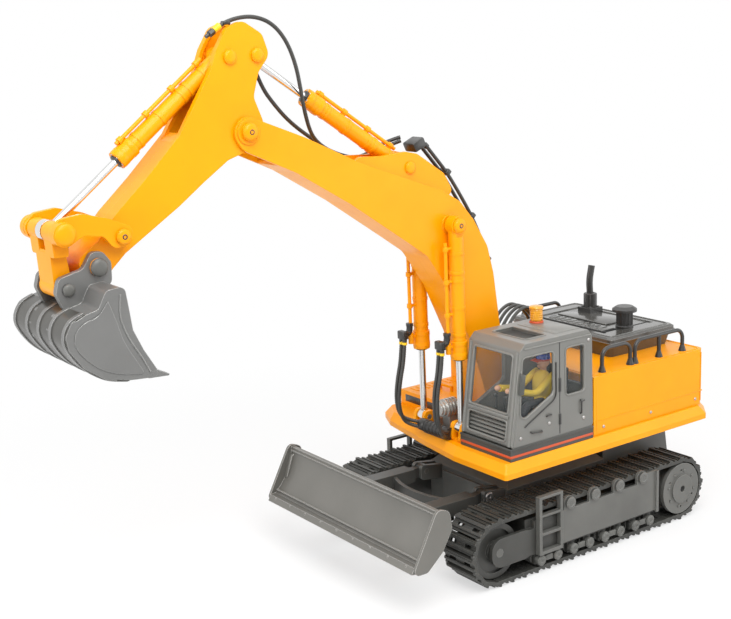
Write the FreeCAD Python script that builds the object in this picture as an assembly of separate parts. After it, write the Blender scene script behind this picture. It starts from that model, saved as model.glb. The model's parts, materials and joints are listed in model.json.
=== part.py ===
import FreeCAD, Part
import math
import os

# Toy tracked excavator, millimetres. +X is forward (the blade), +Y is left (the cab), +Z is up.
# Everything is built about the slewing axis with the ground at z = 0, then moved to the middle of its box.

# ---- running gear ----
wheel_base = 186.0          # idler axle to sprocket axle
axle_z = 25.5               # height of both axles
belt_inner_r = 20.6         # inside of the belt round a wheel
belt_web = 2.4              # thickness of the belt between its bars
track_outer_y = 84.0        # outer face of the belt
track_width = 32.0
shoe_count = 44
shoe_bar = 5.2              # length of one bar along the belt
wheel_clearance = 0.6       # wheel rim to belt
panel_thick = 2.2
panel_gap = 0.3             # belt to side panel
roller_r = 4.6
roller_count = 8
roller_pitch = 16.0
sprocket_teeth = 12
running_fit = 0.05          # shaft in a bore, on the radius
piece_gap = 0.3             # faces of two bodies that pass each other

# ---- chassis and slewing ring ----
chassis_half_x = 50.0
chassis_half_y = 44.0
chassis_bottom = 18.0
chassis_top = 56.0
chassis_wall = 3.0
king_pin_r = 8.0
box_wall = 2.0
cell_r = 7.1                # AA cells in the battery box
cell_length = 50.0
cell_pitch = 14.6
cell_gap = 0.2
gear_module = 1.5
ring_teeth = 44
pinion_teeth = 11
gear_face = 6.0
gear_backlash = 0.25
turntable_r = 34.0

# ---- blade ----
blade_pivot = (65.6, 47.3)
blade_half_y = 90.0
blade_thick = 3.0
arm_y = 36.0
arm_half = 6.0
knuckle_half = 2.7
small_pin_r = 2.0

# ---- house ----
deck_half_y = 86.0
deck_rear = 132.0
deck_front = 88.5
deck_bottom = 77.0
deck_top = 87.0
deck_wall = 4.0
deck_pad_rear = 52.6        # solid part of the deck under the boom cylinders
deck_pad_half = 31.0
cover_half_y = 80.0
cover_rear = 122.0
cover_front = 2.0
cover_top = 131.0
cover_wall = 2.0
hood_top = 147.0
cab_inner_y = 28.6
cab_outer_y = 81.0
cab_length = 79.0
cab_sill = 96.0
cab_roof = 168.0
cab_wall = 2.0
glass_thick = 0.8

# ---- boom, stick and bucket: pins in the plane of the arm ----
foot_pin = (28.0, 104.0)
boom_cyl_top = (74.2, 244.4)
boom_cyl_foot = (73.0, 96.0)
boom_cyl_y = 21.5
nose_pin = (232.1, 321.3)
stick_cyl_hump = (104.1, 286.6)
stick_cyl_head = (221.4, 367.4)
bucket_cyl_head = (240.9, 367.2)
rocker_foot = (324.1, 268.5)
rocker_tip = (361.0, 274.5)
bucket_pin = (339.4, 252.1)
link_pin = (358.8, 241.4)
boom_half = 14.5
boom_wall = 2.2
stick_half = boom_half - boom_wall - piece_gap
stick_wall = 2.4
pin_r = 3.0
foot_pin_r = 4.0
cyl_pin_r = 2.2
bucket_half = 40.0
bucket_wall = 2.2
ear_half = (12.6, 16.8)
saddle_r = 14.4             # notch in the top of the bucket that the stick foot turns in
saddle_half = ear_half[0] + bucket_wall
rocker_half = (17.2, 20.8)

# ---- cylinders ----
barrel_r = 5.3
barrel_wall = 1.3
collar_r = 6.1
collar_length = 12.0
rod_r = 2.4
boom_pipe = 9.7             # axis of the oil pipe to the axis of its barrel
arm_pipe = 7.6
elbow_at = (90.5, 161.0)      # middle of the hose elbow on a boom barrel
boom_barrel_length = 96.0
stick_barrel_length = 92.0
bucket_barrel_length = 93.0
boom_drift = 2.6            # room at the boom cylinders' open pin
stick_drift = 3.9           # room at the stick cylinder's open pin
bucket_drift = 1.6          # room at the bucket cylinder's open pin
link_drift = 2.4            # room at the link's open pin

# ---- hoses ----
hose_r = 1.5
thin_hose_r = 1.3


def vec(x, y, z):
    return FreeCAD.Vector(x, y, z)


def box(x0, x1, y0, y1, z0, z1):
    return Part.makeBox(x1 - x0, y1 - y0, z1 - z0, vec(x0, y0, z0))


def rod_y(x, z, y0, y1, r):
    return Part.makeCylinder(r, y1 - y0, vec(x, y0, z), vec(0, 1, 0))


def rod_z(x, y, z0, z1, r):
    return Part.makeCylinder(r, z1 - z0, vec(x, y, z0), vec(0, 0, 1))


def rod_x(y, z, x0, x1, r):
    return Part.makeCylinder(r, x1 - x0, vec(x0, y, z), vec(1, 0, 0))


def fuse(shapes):
    """One solid from touching or overlapping shapes."""
    whole = shapes[0].multiFuse(shapes[1:]) if len(shapes) > 1 else shapes[0]
    return whole.removeSplitter()


def group(shapes):
    return Part.makeCompound(shapes)


def mirrored(shape):
    return shape.mirror(vec(0, 0, 0), vec(0, 1, 0))


def corner(before, at, after, radius=None, share=0.45):
    """Start, middle and end of the tangent arc that rounds the corner at one point of a route."""
    a = (before - at).normalize()
    b = (after - at).normalize()
    turn = math.pi - a.getAngle(b)
    if turn < 1e-3:
        return None
    shorter = min((before - at).Length, (after - at).Length)
    largest = share * shorter / math.tan(turn / 2)
    r = largest if radius is None else min(radius, largest)
    reach = r * math.tan(turn / 2)
    inward = (a + b).normalize()
    middle = at + inward * (r / math.cos(turn / 2) - r)
    return at + a * reach, middle, at + b * reach, r


def closed_wire(points, radius):
    """A closed outline with every corner rounded to the radius, or as far as its sides allow."""
    edges = []
    arcs = []
    count = len(points)
    for i in range(count):
        arcs.append(corner(points[i - 1], points[i], points[(i + 1) % count], radius) if radius else None)
    for i in range(count):
        nxt = (i + 1) % count
        start = arcs[i][2] if arcs[i] else points[i]
        end = arcs[nxt][0] if arcs[nxt] else points[nxt]
        if arcs[i]:
            edges.append(Part.Arc(arcs[i][0], arcs[i][1], arcs[i][2]).toShape())
        if (end - start).Length > 1e-4:
            edges.append(Part.makeLine(start, end))
    return Part.Wire(edges)


def side_slab(points, y0, y1, radius=0.0):
    """An outline of x, z points, extruded along y."""
    wire = closed_wire([vec(x, y0, z) for x, z in points], radius)
    return Part.Face(wire).extrude(vec(0, y1 - y0, 0))


def plan_slab(points, z0, z1, radius=0.0):
    """An outline of x, y points, extruded upwards."""
    wire = closed_wire([vec(x, y, z0) for x, y in points], radius)
    return Part.Face(wire).extrude(vec(0, 0, z1 - z0))


def hose(name, points, r):
    """A tube of straight runs joined by tangent arcs; prints its smallest bend and checks its volume."""
    pts = [vec(*p) for p in points]
    edges = []
    last = pts[0]
    radii = []
    for i in range(1, len(pts) - 1):
        start, middle, end, bend = corner(pts[i - 1], pts[i], pts[i + 1])
        radii.append(bend)
        edges.append(Part.makeLine(last, start))
        edges.append(Part.Arc(start, middle, end).toShape())
        last = end
    edges.append(Part.makeLine(last, pts[-1]))
    path = Part.Wire(edges)
    section = Part.Wire([Part.Circle(pts[0], pts[1] - pts[0], r).toShape()])
    tube = path.makePipeShell([section], True, True)
    expected = math.pi * r * r * path.Length
    print(name, "bends", [round(x, 1) for x in radii], "diameter", 2 * r,
          "volume ratio", round(tube.Volume / expected, 4))
    return tube


def along(a, b):
    return vec(b[0] - a[0], 0, b[1] - a[1]).normalize()


# ---------------------------------------------------------------- running gear

def stadium(radius, y0, y1):
    half = wheel_base / 2
    ends = [rod_y(s * half, axle_z, y0, y1, radius) for s in (-1, 1)]
    return fuse([box(-half, half, y0, y1, axle_z - radius, axle_z + radius)] + ends)


def belt_frame(distance, radius):
    """Place and outward angle of a point on the belt, at a distance along a line at that radius."""
    half = wheel_base / 2
    turn = math.pi * radius
    total = 2 * wheel_base + 2 * turn
    s = distance % total
    if s < wheel_base:
        return s - half, axle_z + radius, 90.0
    s -= wheel_base
    if s < turn:
        angle = 90.0 - math.degrees(s / radius)
        turn = math.radians(angle)
        return half + radius * math.cos(turn), axle_z + radius * math.sin(turn), angle
    s -= turn
    if s < wheel_base:
        return half - s, axle_z - radius, -90.0
    s -= wheel_base
    angle = -90.0 - math.degrees(s / radius)
    turn = math.radians(angle)
    return -half + radius * math.cos(turn), axle_z + radius * math.sin(turn), angle


def track_belt():
    web_r = belt_inner_r + belt_web
    y0 = track_outer_y - track_width
    belt = stadium(web_r, y0, track_outer_y).cut(stadium(belt_inner_r, y0 - 1, track_outer_y + 1))
    total = 2 * wheel_base + 2 * math.pi * web_r
    bars = []
    height = axle_z - web_r
    sunk = 0.4
    for i in range(shoe_count):
        x, z, angle = belt_frame((i + 0.5) * total / shoe_count, web_r)
        bar = box(-sunk, height, y0, track_outer_y, -shoe_bar / 2, shoe_bar / 2)
        bar.rotate(vec(0, 0, 0), vec(0, 1, 0), -angle)
        bar.translate(vec(x, 0, z))
        bars.append(bar)
    return belt.multiFuse(bars)


def frame_bottom():
    return axle_z - belt_inner_r + 2 * roller_r + 1.2


def roller_places():
    first = -roller_pitch * (roller_count - 1) / 2
    return [first + i * roller_pitch for i in range(roller_count)]


def roller_z():
    return axle_z - belt_inner_r + roller_r + wheel_clearance


def track_frame():
    """Beam inside the belt, with the fork that holds the idler and the brackets of the rollers."""
    inner = track_outer_y - track_width + 0.2
    bottom = frame_bottom()
    half = wheel_base / 2
    beam = box(-66, 66, inner + 4, track_outer_y - 4, bottom, 41)
    inner_plate = side_slab([(-66, bottom), (half + 8, bottom + 2), (half + 8, 34), (66, 40), (-66, 40)],
                            inner, inner + 4, 3)
    front_plate = side_slab([(61, 14.5), (half + 7, 14.5), (half + 7, 35.5), (61, 35.5)],
                            track_outer_y - 3.2, track_outer_y, 9)
    neck = box(61, 66, track_outer_y - 4, track_outer_y, 15.5, 34.5)
    outer_rail = box(-62, 61, track_outer_y - 4, track_outer_y, bottom, 40)
    shape = fuse([beam, inner_plate, front_plate, neck, outer_rail])
    brackets = []
    for x in roller_places():
        for y0, y1 in ((inner + 4, inner + 7), (track_outer_y - 4, track_outer_y - 1.2)):
            brackets.append(box(x - 3.6, x + 3.6, y0, y1, roller_z() - 3.4, bottom + 1))
    shape = fuse([shape] + brackets)
    holes = [rod_y(x, roller_z(), inner, track_outer_y, small_pin_r) for x in roller_places()]
    holes.append(rod_y(half, axle_z, inner - 1, track_outer_y + 1, pin_r))
    return shape.cut(group(holes))


def side_panel():
    """Outer cover of one track: a plate with four round tabs and the three-opening step beside it."""
    y0 = track_outer_y + panel_gap
    y1 = y0 + panel_thick
    plate = box(-63, 35, y0, y1, 17.5, 42.0)
    pieces = [plate, box(-63, -50, y0, y1, 42.0, 48.5)]
    for x in (29.0, 4.0, -21.0, -46.0):
        pieces.append(rod_y(x, 46.5, y0, y1, 5.2))
        pieces.append(box(x - 5.2, x + 5.2, y0, y1, 41.0, 46.5))
    pieces.append(box(-63, -60.6, y0, y1 + 1.6, 16.0, 48.5))
    step = box(37.0, 59.5, y0, y1 + 1.8, 15.0, 58.0)
    openings = [box(39.4, 57.1, y0 - 1, y1 + 3, z, z + 11.8) for z in (17.4, 31.0, 44.4)]
    pieces.append(step.cut(group(openings)))
    pieces.append(box(34.5, 37.5, y0, y1, 17.5, 42.0))
    panel = fuse(pieces)
    return panel.cut(rod_y(4.0, 46.5, y0 - 1, y1 + 1, 1.6))


def lower_rollers():
    inner = track_outer_y - track_width + 4.2
    rollers = []
    for x in roller_places():
        wheel = rod_y(x, roller_z(), inner + 3.4, track_outer_y - 4.4, roller_r)
        shaft = rod_y(x, roller_z(), inner + 0.2, track_outer_y + 1, small_pin_r)
        cap = rod_y(x, roller_z(), track_outer_y - 0.9, track_outer_y + panel_gap + panel_thick, 3.9)
        rollers.append(fuse([wheel, shaft, cap]))
    return rollers


def idler():
    half = wheel_base / 2
    r = belt_inner_r - wheel_clearance
    y0 = track_outer_y - track_width + 6
    wheel = rod_y(half, axle_z, y0, track_outer_y - 5, r)
    groove = rod_y(half, axle_z, y0 + 7, track_outer_y - 12, r + 1).cut(
        rod_y(half, axle_z, y0 + 6, track_outer_y - 11, r - 3))
    dish = rod_y(half, axle_z, track_outer_y - 7, track_outer_y, r - 4).cut(
        rod_y(half, axle_z, track_outer_y - 8, track_outer_y + 1, 7))
    bore = rod_y(half, axle_z, y0 - 1, track_outer_y, pin_r + running_fit)
    return wheel.cut(group([groove, dish])).cut(bore)


def gearbox_outer_y():
    return track_outer_y - track_width + 5


def sprocket():
    """Toothed drive wheel with its face disc, hub and the shaft that runs in the gearbox."""
    x = -wheel_base / 2
    r = belt_inner_r - wheel_clearance
    inner = gearbox_outer_y() + 1
    body = rod_y(x, axle_z, inner, track_outer_y - 3, r - 4)
    face = rod_y(x, axle_z, track_outer_y - 3.4, track_outer_y, r)
    hub = rod_y(x, axle_z, track_outer_y, track_outer_y + 1.6, 11.0)
    shaft = rod_y(x, axle_z, gearbox_outer_y() - 18, inner + 1, 4.0)
    teeth = []
    for i in range(sprocket_teeth):
        tooth = box(r - 6, r - 0.3, track_outer_y - 20, track_outer_y - 13, -1.8, 1.8)
        tooth.rotate(vec(0, 0, 0), vec(0, 1, 0), i * 360.0 / sprocket_teeth)
        tooth.translate(vec(x, 0, axle_z))
        teeth.append(tooth)
    wheel = body.multiFuse([face, hub, shaft] + teeth)
    holes = [rod_y(x, axle_z, track_outer_y - 6, track_outer_y + 3, 2.6)]
    for i in range(6):
        a = math.radians(60 * i + 30)
        holes.append(rod_y(x + 14.5 * math.cos(a), axle_z + 14.5 * math.sin(a),
                           track_outer_y - 2, track_outer_y + 1, 0.9))
    return wheel.cut(group(holes))


def track_gearbox():
    """Gear case behind the sprocket, and the motor on its inner end."""
    x = -wheel_base / 2
    y1 = gearbox_outer_y()
    case = box(x - 15, x + 25, y1 - 24, y1, 13, 37)
    case = case.cut(rod_y(x, axle_z, y1 - 18 - running_fit, y1 + 1, 4.0 + running_fit))
    lug = box(x + 25, -66, y1 - 14, y1 - 1, 18, 37)
    motor = rod_y(x, axle_z, y1 - 24 - 22, y1 - 24, 8.0)
    return [fuse([case, lug]), motor]


# ---------------------------------------------------------------- chassis

def gear_wheel(x, y, z0, z1, teeth, phase):
    """Spur gear with straight-flanked teeth, thinned for backlash."""
    r = gear_module * teeth / 2
    step = 2 * math.pi / teeth
    points = []
    for i in range(teeth):
        a = i * step + phase
        for radius, share in ((r - 1.25 * gear_module, -0.34), (r + 0.8 * gear_module, -0.13),
                              (r + 0.8 * gear_module, 0.13), (r - 1.25 * gear_module, 0.34)):
            points.append((x + radius * math.cos(a + share * step), y + radius * math.sin(a + share * step)))
    return plan_slab(points, z0, z1)


def gear_centre():
    return gear_module * (ring_teeth + pinion_teeth) / 2 + gear_backlash


def slew_ring_gear():
    gear = gear_wheel(0, 0, chassis_top, chassis_top + gear_face, ring_teeth, 0)
    return gear.cut(rod_z(0, 0, chassis_top - 1, chassis_top + gear_face + 1, 20))


def slew_pinion():
    """Pinion behind the ring, with a gap of its own facing the ring's tooth."""
    x = -gear_centre()
    z0 = chassis_top + 0.4
    z1 = chassis_top + gear_face - 0.2
    gear = gear_wheel(x, 0, z0, z1, pinion_teeth, math.pi / pinion_teeth)
    shaft = rod_z(x, 0, z1 - 1, deck_top + 6, small_pin_r)
    return fuse([gear, shaft])


def chassis_frame():
    body = box(-chassis_half_x, chassis_half_x, -chassis_half_y, chassis_half_y, chassis_bottom, chassis_top)
    rims = [e for e in body.Edges if e.BoundBox.ZMin > chassis_top - 0.1]
    body = body.makeChamfer(7, rims)
    hollow = box(-chassis_half_x + chassis_wall, chassis_half_x - chassis_wall,
                 -chassis_half_y + chassis_wall, chassis_half_y - chassis_wall,
                 chassis_bottom - 1, chassis_top - 12)
    well = rod_z(0, 0, chassis_top - 13, chassis_top - 6, 26)
    legs = []
    gap = track_outer_y - track_width + 0.2
    for s in (-1, 1):
        y0, y1 = sorted((s * (chassis_half_y - 1), s * gap))
        legs.append(box(-44, 44, y0, y1, 20, 40))
        for inner in (arm_y - knuckle_half - 3.3, arm_y + knuckle_half + piece_gap):
            a, b = sorted((s * inner, s * (inner + 3)))
            legs.append(side_slab([(chassis_half_x - 2, 38), (blade_pivot[0] + 5, 41),
                                   (blade_pivot[0] + 5, 53), (chassis_half_x - 2, 49)], a, b, 3))
    front = box(chassis_half_x - 2, chassis_half_x + 3, -26, 26, 24, 46)
    shape = fuse([body] + legs + [front]).cut(group([hollow, well]))
    bores = [rod_z(0, 0, chassis_top - 8, chassis_top + 1, king_pin_r + running_fit)]
    for s in (-1, 1):
        a, b = sorted((s * 25, s * 46))
        bores.append(rod_y(blade_pivot[0], blade_pivot[1], a, b, small_pin_r))
    return shape.cut(group(bores))


def battery_box():
    x0, x1 = -wheel_base / 2 - 31, -chassis_half_x
    floor = chassis_top - 2 * box_wall - 2 * cell_r - 2 * cell_gap
    shell = side_slab([(x0, floor), (x1, floor), (x1, chassis_top), (x0 + 3, chassis_top)], -43, 43)
    room = 2.5 * cell_pitch + 1
    return shell.cut(box(x0 + 5, x1 - 4, -room, room, floor + box_wall, chassis_top - box_wall))


def battery_pack():
    x1 = -chassis_half_x - 6
    z = chassis_top - box_wall - cell_gap - cell_r
    return [rod_x(i * cell_pitch, z, x1 - cell_length, x1, cell_r) for i in range(-2, 3)]


def undercarriage_pins():
    half = wheel_base / 2
    inner = track_outer_y - track_width + 0.2
    pins = []
    for s in (-1, 1):
        a, b = sorted((s * inner, s * track_outer_y))
        pins.append(rod_y(half, axle_z, a, b, pin_r))
        a, b = sorted((s * (arm_y - 6.3), s * (arm_y + 6.3)))
        pins.append(rod_y(blade_pivot[0], blade_pivot[1], a, b, small_pin_r))
    return pins


# ---------------------------------------------------------------- blade

blade_top = (150.0, 72.0)
blade_foot = (171.5, 35.0)
blade_dish = (156.6, 50.5)


def blade():
    """Dished plate with a cutting edge and an end plate at each side."""
    def arc_points(shift):
        pts = [vec(blade_top[0] - shift, 0, blade_top[1]),
               vec(blade_dish[0] - shift, 0, blade_dish[1] - shift / 2),
               vec(blade_foot[0] - shift, 0, blade_foot[1] - shift / 3)]
        return pts
    front = arc_points(0)
    back = arc_points(blade_thick)
    y0 = -blade_half_y + 2
    edges = [Part.Arc(*front).toShape(), Part.makeLine(front[2], back[2]),
             Part.Arc(back[2], back[1], back[0]).toShape(), Part.makeLine(back[0], front[0])]
    plate = Part.Face(Part.Wire(edges))
    plate.translate(vec(0, y0, 0))
    plate = plate.extrude(vec(0, 2 * (blade_half_y - 2), 0))
    edge_bar = side_slab([(166.5, 39), (170.6, 38.6), (173.0, 34.4), (166.5, 33.2)], y0, -y0)
    ends = []
    for s in (-1, 1):
        a, b = sorted((s * (blade_half_y - 2), s * blade_half_y))
        ends.append(side_slab([(151.5, 74.5), (141.5, 71), (139.5, 58), (148, 44), (161, 33), (173.5, 33.4)],
                              a, b, 5))
    back_rib = side_slab([(147, 53), (156, 53), (158, 41), (147, 41)], -44, 44)
    cut_front = Part.Face(Part.Wire([Part.Arc(*front).toShape(), Part.makeLine(front[2], vec(190, 0, 30)),
                                     Part.makeLine(vec(190, 0, 30), vec(190, 0, 72)),
                                     Part.makeLine(vec(190, 0, 72), front[0])]))
    cut_front.translate(vec(0, y0, 0))
    cut_front = cut_front.extrude(vec(0, -2 * y0, 0))
    whole = fuse([plate, back_rib.cut(cut_front)] + ends)
    return fuse([whole, edge_bar])


def blade_arms():
    """Two flat arms and the curved plate between them."""
    px, pz = blade_pivot
    pieces = []
    for s in (-1, 1):
        a, b = sorted((s * (arm_y - arm_half), s * (arm_y + arm_half)))
        pieces.append(side_slab([(px + 11, pz - 6), (147, 41.5), (147, 52.5), (px + 11, pz + 4)], a, b, 1.5))
        a, b = sorted((s * (arm_y - knuckle_half), s * (arm_y + knuckle_half)))
        knuckle = fuse([rod_y(px, pz, a, b, 4.6), box(px, px + 13, a, b, pz - 4.6, pz + 3)])
        pieces.append(knuckle)
    bow = Part.Arc(vec(92, -arm_y + 2, 0), vec(101, 0, 0), vec(92, arm_y - 2, 0)).toShape()
    inner = Part.Arc(vec(95, -arm_y + 2, 0), vec(104, 0, 0), vec(95, arm_y - 2, 0)).toShape()
    caps = [Part.makeLine(vec(92, s * (arm_y - 2), 0), vec(95, s * (arm_y - 2), 0)) for s in (-1, 1)]
    plate = Part.Face(Part.Wire(Part.sortEdges([bow, inner] + caps)[0]))
    plate.translate(vec(0, 0, 34))
    pieces.append(plate.extrude(vec(0, 0, 16)))
    arms = fuse(pieces)
    return arms.cut(rod_y(px, pz, -50, 50, small_pin_r + running_fit))


# ---------------------------------------------------------------- house

def deck_outline(inset):
    front = deck_front - inset
    side = deck_half_y - inset
    rear = -deck_rear + inset
    return [(front, side), (front, cab_inner_y + 2), (front - 6, -10), (72 - inset, -66), (62 - inset, -side),
            (rear + 14, -side), (rear, -side + 14), (rear, side - 14), (rear + 14, side)]


def deck():
    """Deck tray: a wide lower rim, a sloping shoulder and a flat top, hollow below."""
    shoulder = deck_bottom + 4
    rim = plan_slab(deck_outline(0), deck_bottom, shoulder, 2)
    low = closed_wire([vec(x, y, shoulder) for x, y in deck_outline(0)], 2)
    high = closed_wire([vec(x, y, deck_top) for x, y in deck_outline(4)], 2)
    top = Part.makeLoft([low, high], True, True)
    shape = fuse([rim, top])
    pocket = plan_slab(deck_outline(deck_wall + 4), deck_bottom - 1, deck_top - 3)
    keep = box(deck_pad_rear, deck_front, -deck_pad_half, deck_pad_half, deck_bottom - 1, deck_top - 3)
    shape = shape.cut(pocket.cut(keep))
    posts = [rod_z(x, y, deck_top - 1, 100, 3) for x in (-112, -62) for y in (-34, 34)]
    shape = fuse([shape] + posts)
    return shape.cut(rod_z(-gear_centre(), 0, deck_bottom - 1, deck_top + 1, small_pin_r + 1))


def turntable():
    """Round plate under the deck, and the king pin that holds it to the chassis."""
    z0 = chassis_top + gear_face + 0.4
    plate = rod_z(0, 0, z0, deck_top - 3, turntable_r)
    plate = plate.cut(rod_z(0, 0, z0 - 1, deck_top, king_pin_r))
    pin = rod_z(0, 0, chassis_top - 8, deck_top - 3, king_pin_r)
    flange = rod_z(0, 0, chassis_top - 10, chassis_top - 6.4, king_pin_r + 5)
    return [plate, fuse([pin, flange])]


def slew_motor():
    x = -gear_centre()
    case = box(x - 12, x + 12, -12, 12, deck_top, deck_top + 9)
    case = case.cut(rod_z(x, 0, deck_top - 1, deck_top + 6 + running_fit, small_pin_r + running_fit))
    return fuse([case, rod_z(x, 0, deck_top + 8, deck_top + 32, 8.5)])


def circuit_board():
    board = box(-116, -57, -38, 38, 100, 101.6)
    chips = [box(-104, -92, -14, 4, 101, 104), box(-84, -74, 8, 20, 101, 104),
             box(-80, -66, -26, -12, 101, 110)]
    return fuse([board] + chips)


hose_sockets = [(-39.5, -24.5), (-39.0, -19.0), (-39.5, -13.5), (-39.0, -8.0)]
socket_rise = 4.0


def engine_cover():
    """Yellow cover across the rear, with the low box beside the boom on the right."""
    rear, front = -cover_rear, -cover_front
    main = box(rear, front, -cover_half_y, cover_half_y, deck_top, cover_top)
    uprights = [e for e in main.Edges if e.BoundBox.ZLength > 10 and e.BoundBox.XMax < rear + 1]
    main = main.makeFillet(6, uprights)
    low = box(front - 3, 50, -cover_half_y, -33, deck_top, 99)
    outside = fuse([main, low])
    inside = box(rear + cover_wall, front - cover_wall, -cover_half_y + cover_wall, cover_half_y - cover_wall,
                 deck_top - 1, cover_top - cover_wall)
    inside_low = box(front - 4, 50 - cover_wall, -cover_half_y + cover_wall, -33 - cover_wall,
                     deck_top - 1, 99 - cover_wall)
    handle = fuse([box(24, 26, -62, -60, 98.5, 103), box(24, 26, -48, -46, 98.5, 103),
                   box(24, 26, -62, -46, 101.5, 103.5)])
    sockets = []
    for x, y in hose_sockets:
        sockets.append(rod_z(x, y, cover_top - 1, cover_top + socket_rise, thin_hose_r + 1.0))
    return fuse([outside.cut(fuse([inside, inside_low])), handle] + sockets)


hood_box = (-117.0, -47.0, -53.0, 54.0)


def engine_hood():
    """Black hood: a body that narrows downwards, with an overhanging lid."""
    x0, x1, y0, y1 = hood_box

    def ring(z, inset):
        return closed_wire([vec(x0 + inset, y0 + inset, z), vec(x1 - inset, y0 + inset, z),
                            vec(x1 - inset, y1 - inset, z), vec(x0 + inset, y1 - inset, z)], 4)
    body = Part.makeLoft([ring(cover_top, 3.5), ring(hood_top - 4, 0.5)], True, True)
    rings = [ring(hood_top - 4, -1.0), ring(hood_top - 1.4, -1.0), ring(hood_top, 0.8)]
    lid = Part.makeLoft(rings, True, True)
    pocket = box(x0 + 8, x1 - 8, y0 + 8, y1 - 8, cover_top - 1, hood_top - 3)
    tray = box(x0 + 8, x1 - 8, y0 + 14, y1 - 14, hood_top - 0.8, hood_top + 1)
    return fuse([body, lid]).cut(group([pocket, tray]))


exhaust_at = (-101.0, -20.0)
filter_at = (-83.0, 34.0)


def exhaust_stack():
    x, y = exhaust_at
    z = hood_top - 0.8
    base = box(x - 7, x + 7, y - 7, y + 7, z, z + 5)
    collar = rod_z(x, y, z + 4, z + 16, 5.2)
    pipe = hose("exhaust", [(x, y, z + 12), (x + 1.2, y, z + 27), (x - 1.6, y, z + 39)], 2.7)
    return fuse([base, collar, pipe])


def air_filter():
    x, y = filter_at
    z = hood_top - 0.8
    post = rod_z(x, y, z, z + 14, 6)
    brim = rod_z(x, y, z + 13, z + 15, 9.5)
    dome = Part.makeCone(9.5, 6.5, 2, vec(x, y, z + 15), vec(0, 0, 1))
    return fuse([post, brim, dome])


rail_height = 17.0
rail_r = 1.5


def handrails():
    """Hoops on the edges of the cover: two on the left, the longer with a middle leg, one on the right."""
    top = cover_top + rail_height
    rails = []
    for x0, x1, y, legs in ((-47.0, -17.5, 73.0, 2), (-104.5, -52.0, 73.0, 3), (-107.0, -64.0, -61.0, 2)):
        low = cover_top + 1
        tube = hose("handrail", [(x0, y, low), (x0, y, top), (x1, y, top), (x1, y, low)], rail_r)
        parts = [tube]
        for i in range(legs):
            x = x0 + (x1 - x0) * i / (legs - 1)
            parts.append(Part.makeCone(2 * rail_r, rail_r + 0.1, 4.5, vec(x, y, cover_top), vec(0, 0, 1)))
            if 0 < i < legs - 1:
                parts.append(rod_z(x, y, cover_top + 1, top, rail_r))
        rails.append(fuse(parts))
    return rails


def cab_outline(inset):
    """Side view of the cab: upright rear, raked windscreen and a slightly rounded roof."""
    front = cab_length - inset * 1.15
    return [(inset, cab_sill), (front, cab_sill), (front - 9.5, 163.5),
            (cab_length - 14.0 - inset, cab_roof - inset), (5.0 + inset, cab_roof - inset),
            (1.0 + inset, 163.0)]


def cab_base():
    base = box(0, cab_length + 0.5, cab_inner_y - 0.3, cab_outer_y + 0.4, deck_top, cab_sill)
    return base.cut(box(2, cab_length - 2, cab_inner_y + 2, cab_outer_y - 2, deck_top - 1, cab_sill - 2))


front_windows = [(119.0, 160.0), (100.0, 114.5)]
door_window = [(67.5, 158.5), (38.5, 158.5), (38.5, 128.0), (66.0, 115.0), (70.5, 118.0)]
rear_window = [(27.0, 158.5), (8.5, 158.5), (8.5, 124.0), (27.0, 124.0)]
skylight = (37.0, 57.0, 38.0, 72.5)


def windscreen_x(z):
    """Front face of the cab at a height."""
    return cab_length - 9.5 * (z - cab_sill) / (163.5 - cab_sill)


def cab_windows(grow):
    """Cutters for every opening, each grown outwards a little."""
    cuts = []
    for z0, z1 in front_windows:
        cuts.append(box(windscreen_x(z1) - 8, cab_length + 4, cab_inner_y + 6 - grow, cab_outer_y - 6 + grow,
                        z0 - grow, z1 + grow))
    for outline in (door_window, rear_window):
        cuts.append(side_slab(outline, cab_outer_y - 4, cab_outer_y + 2, 3))
    cuts.append(side_slab(door_window, cab_inner_y - 2, cab_inner_y + 4, 3))
    x0, x1, y0, y1 = skylight
    cuts.append(box(x0, x1, y0, y1, cab_roof - 5, cab_roof + 2))
    cuts.append(box(-2, 4, cab_inner_y + 10, cab_outer_y - 10, 126, 156))
    return cuts


def cab_shell():
    outside = side_slab(cab_outline(0), cab_inner_y, cab_outer_y, 2.5)
    inside = side_slab(cab_outline(cab_wall), cab_inner_y + cab_wall, cab_outer_y - cab_wall, 2)
    floor_cut = box(cab_wall, cab_length - cab_wall - 0.4, cab_inner_y + cab_wall, cab_outer_y - cab_wall,
                    cab_sill - 1, cab_sill + cab_wall + 1)
    return outside.cut(group([inside, floor_cut])).cut(group(cab_windows(0)))


def cab_glazing():
    """Flat panes inside the openings, one solid each."""
    panes = []
    lean = (cab_wall + 0.2) * 1.15
    for z0, z1 in front_windows:
        a = windscreen_x(z0 - 1.5) - lean
        b = windscreen_x(z1 + 1.5) - lean
        panes.append(side_slab([(a, z0 - 1.5), (a - glass_thick, z0 - 1.5), (b - glass_thick, z1 + 1.5),
                                (b, z1 + 1.5)], cab_inner_y + 4.5, cab_outer_y - 4.5))
    side = cab_outer_y - cab_wall - 0.1
    panes.append(side_slab([(67.4, 159.8), (36.8, 159.8), (36.8, 126.5), (65.5, 113.2), (70.5, 116.0)],
                           side - glass_thick, side, 3))
    panes.append(box(7, 28.5, side - glass_thick, side, 122.5, 160))
    inner = cab_inner_y + cab_wall + 0.1
    panes.append(side_slab([(67.4, 159.8), (36.8, 159.8), (36.8, 126.5), (65.5, 113.2), (70.5, 116.0)],
                           inner, inner + glass_thick, 3))
    rear = cab_wall + 1.1
    panes.append(box(rear, rear + glass_thick, cab_inner_y + 8.5, cab_outer_y - 8.5, 124.5, 157.5))
    x0, x1, y0, y1 = skylight
    panes.append(box(x0 - 1.5, x1 + 1.5, y0 - 1.5, y1 + 1.5, cab_roof - cab_wall - 0.1 - glass_thick,
                     cab_roof - cab_wall - 0.1))
    return panes


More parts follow.
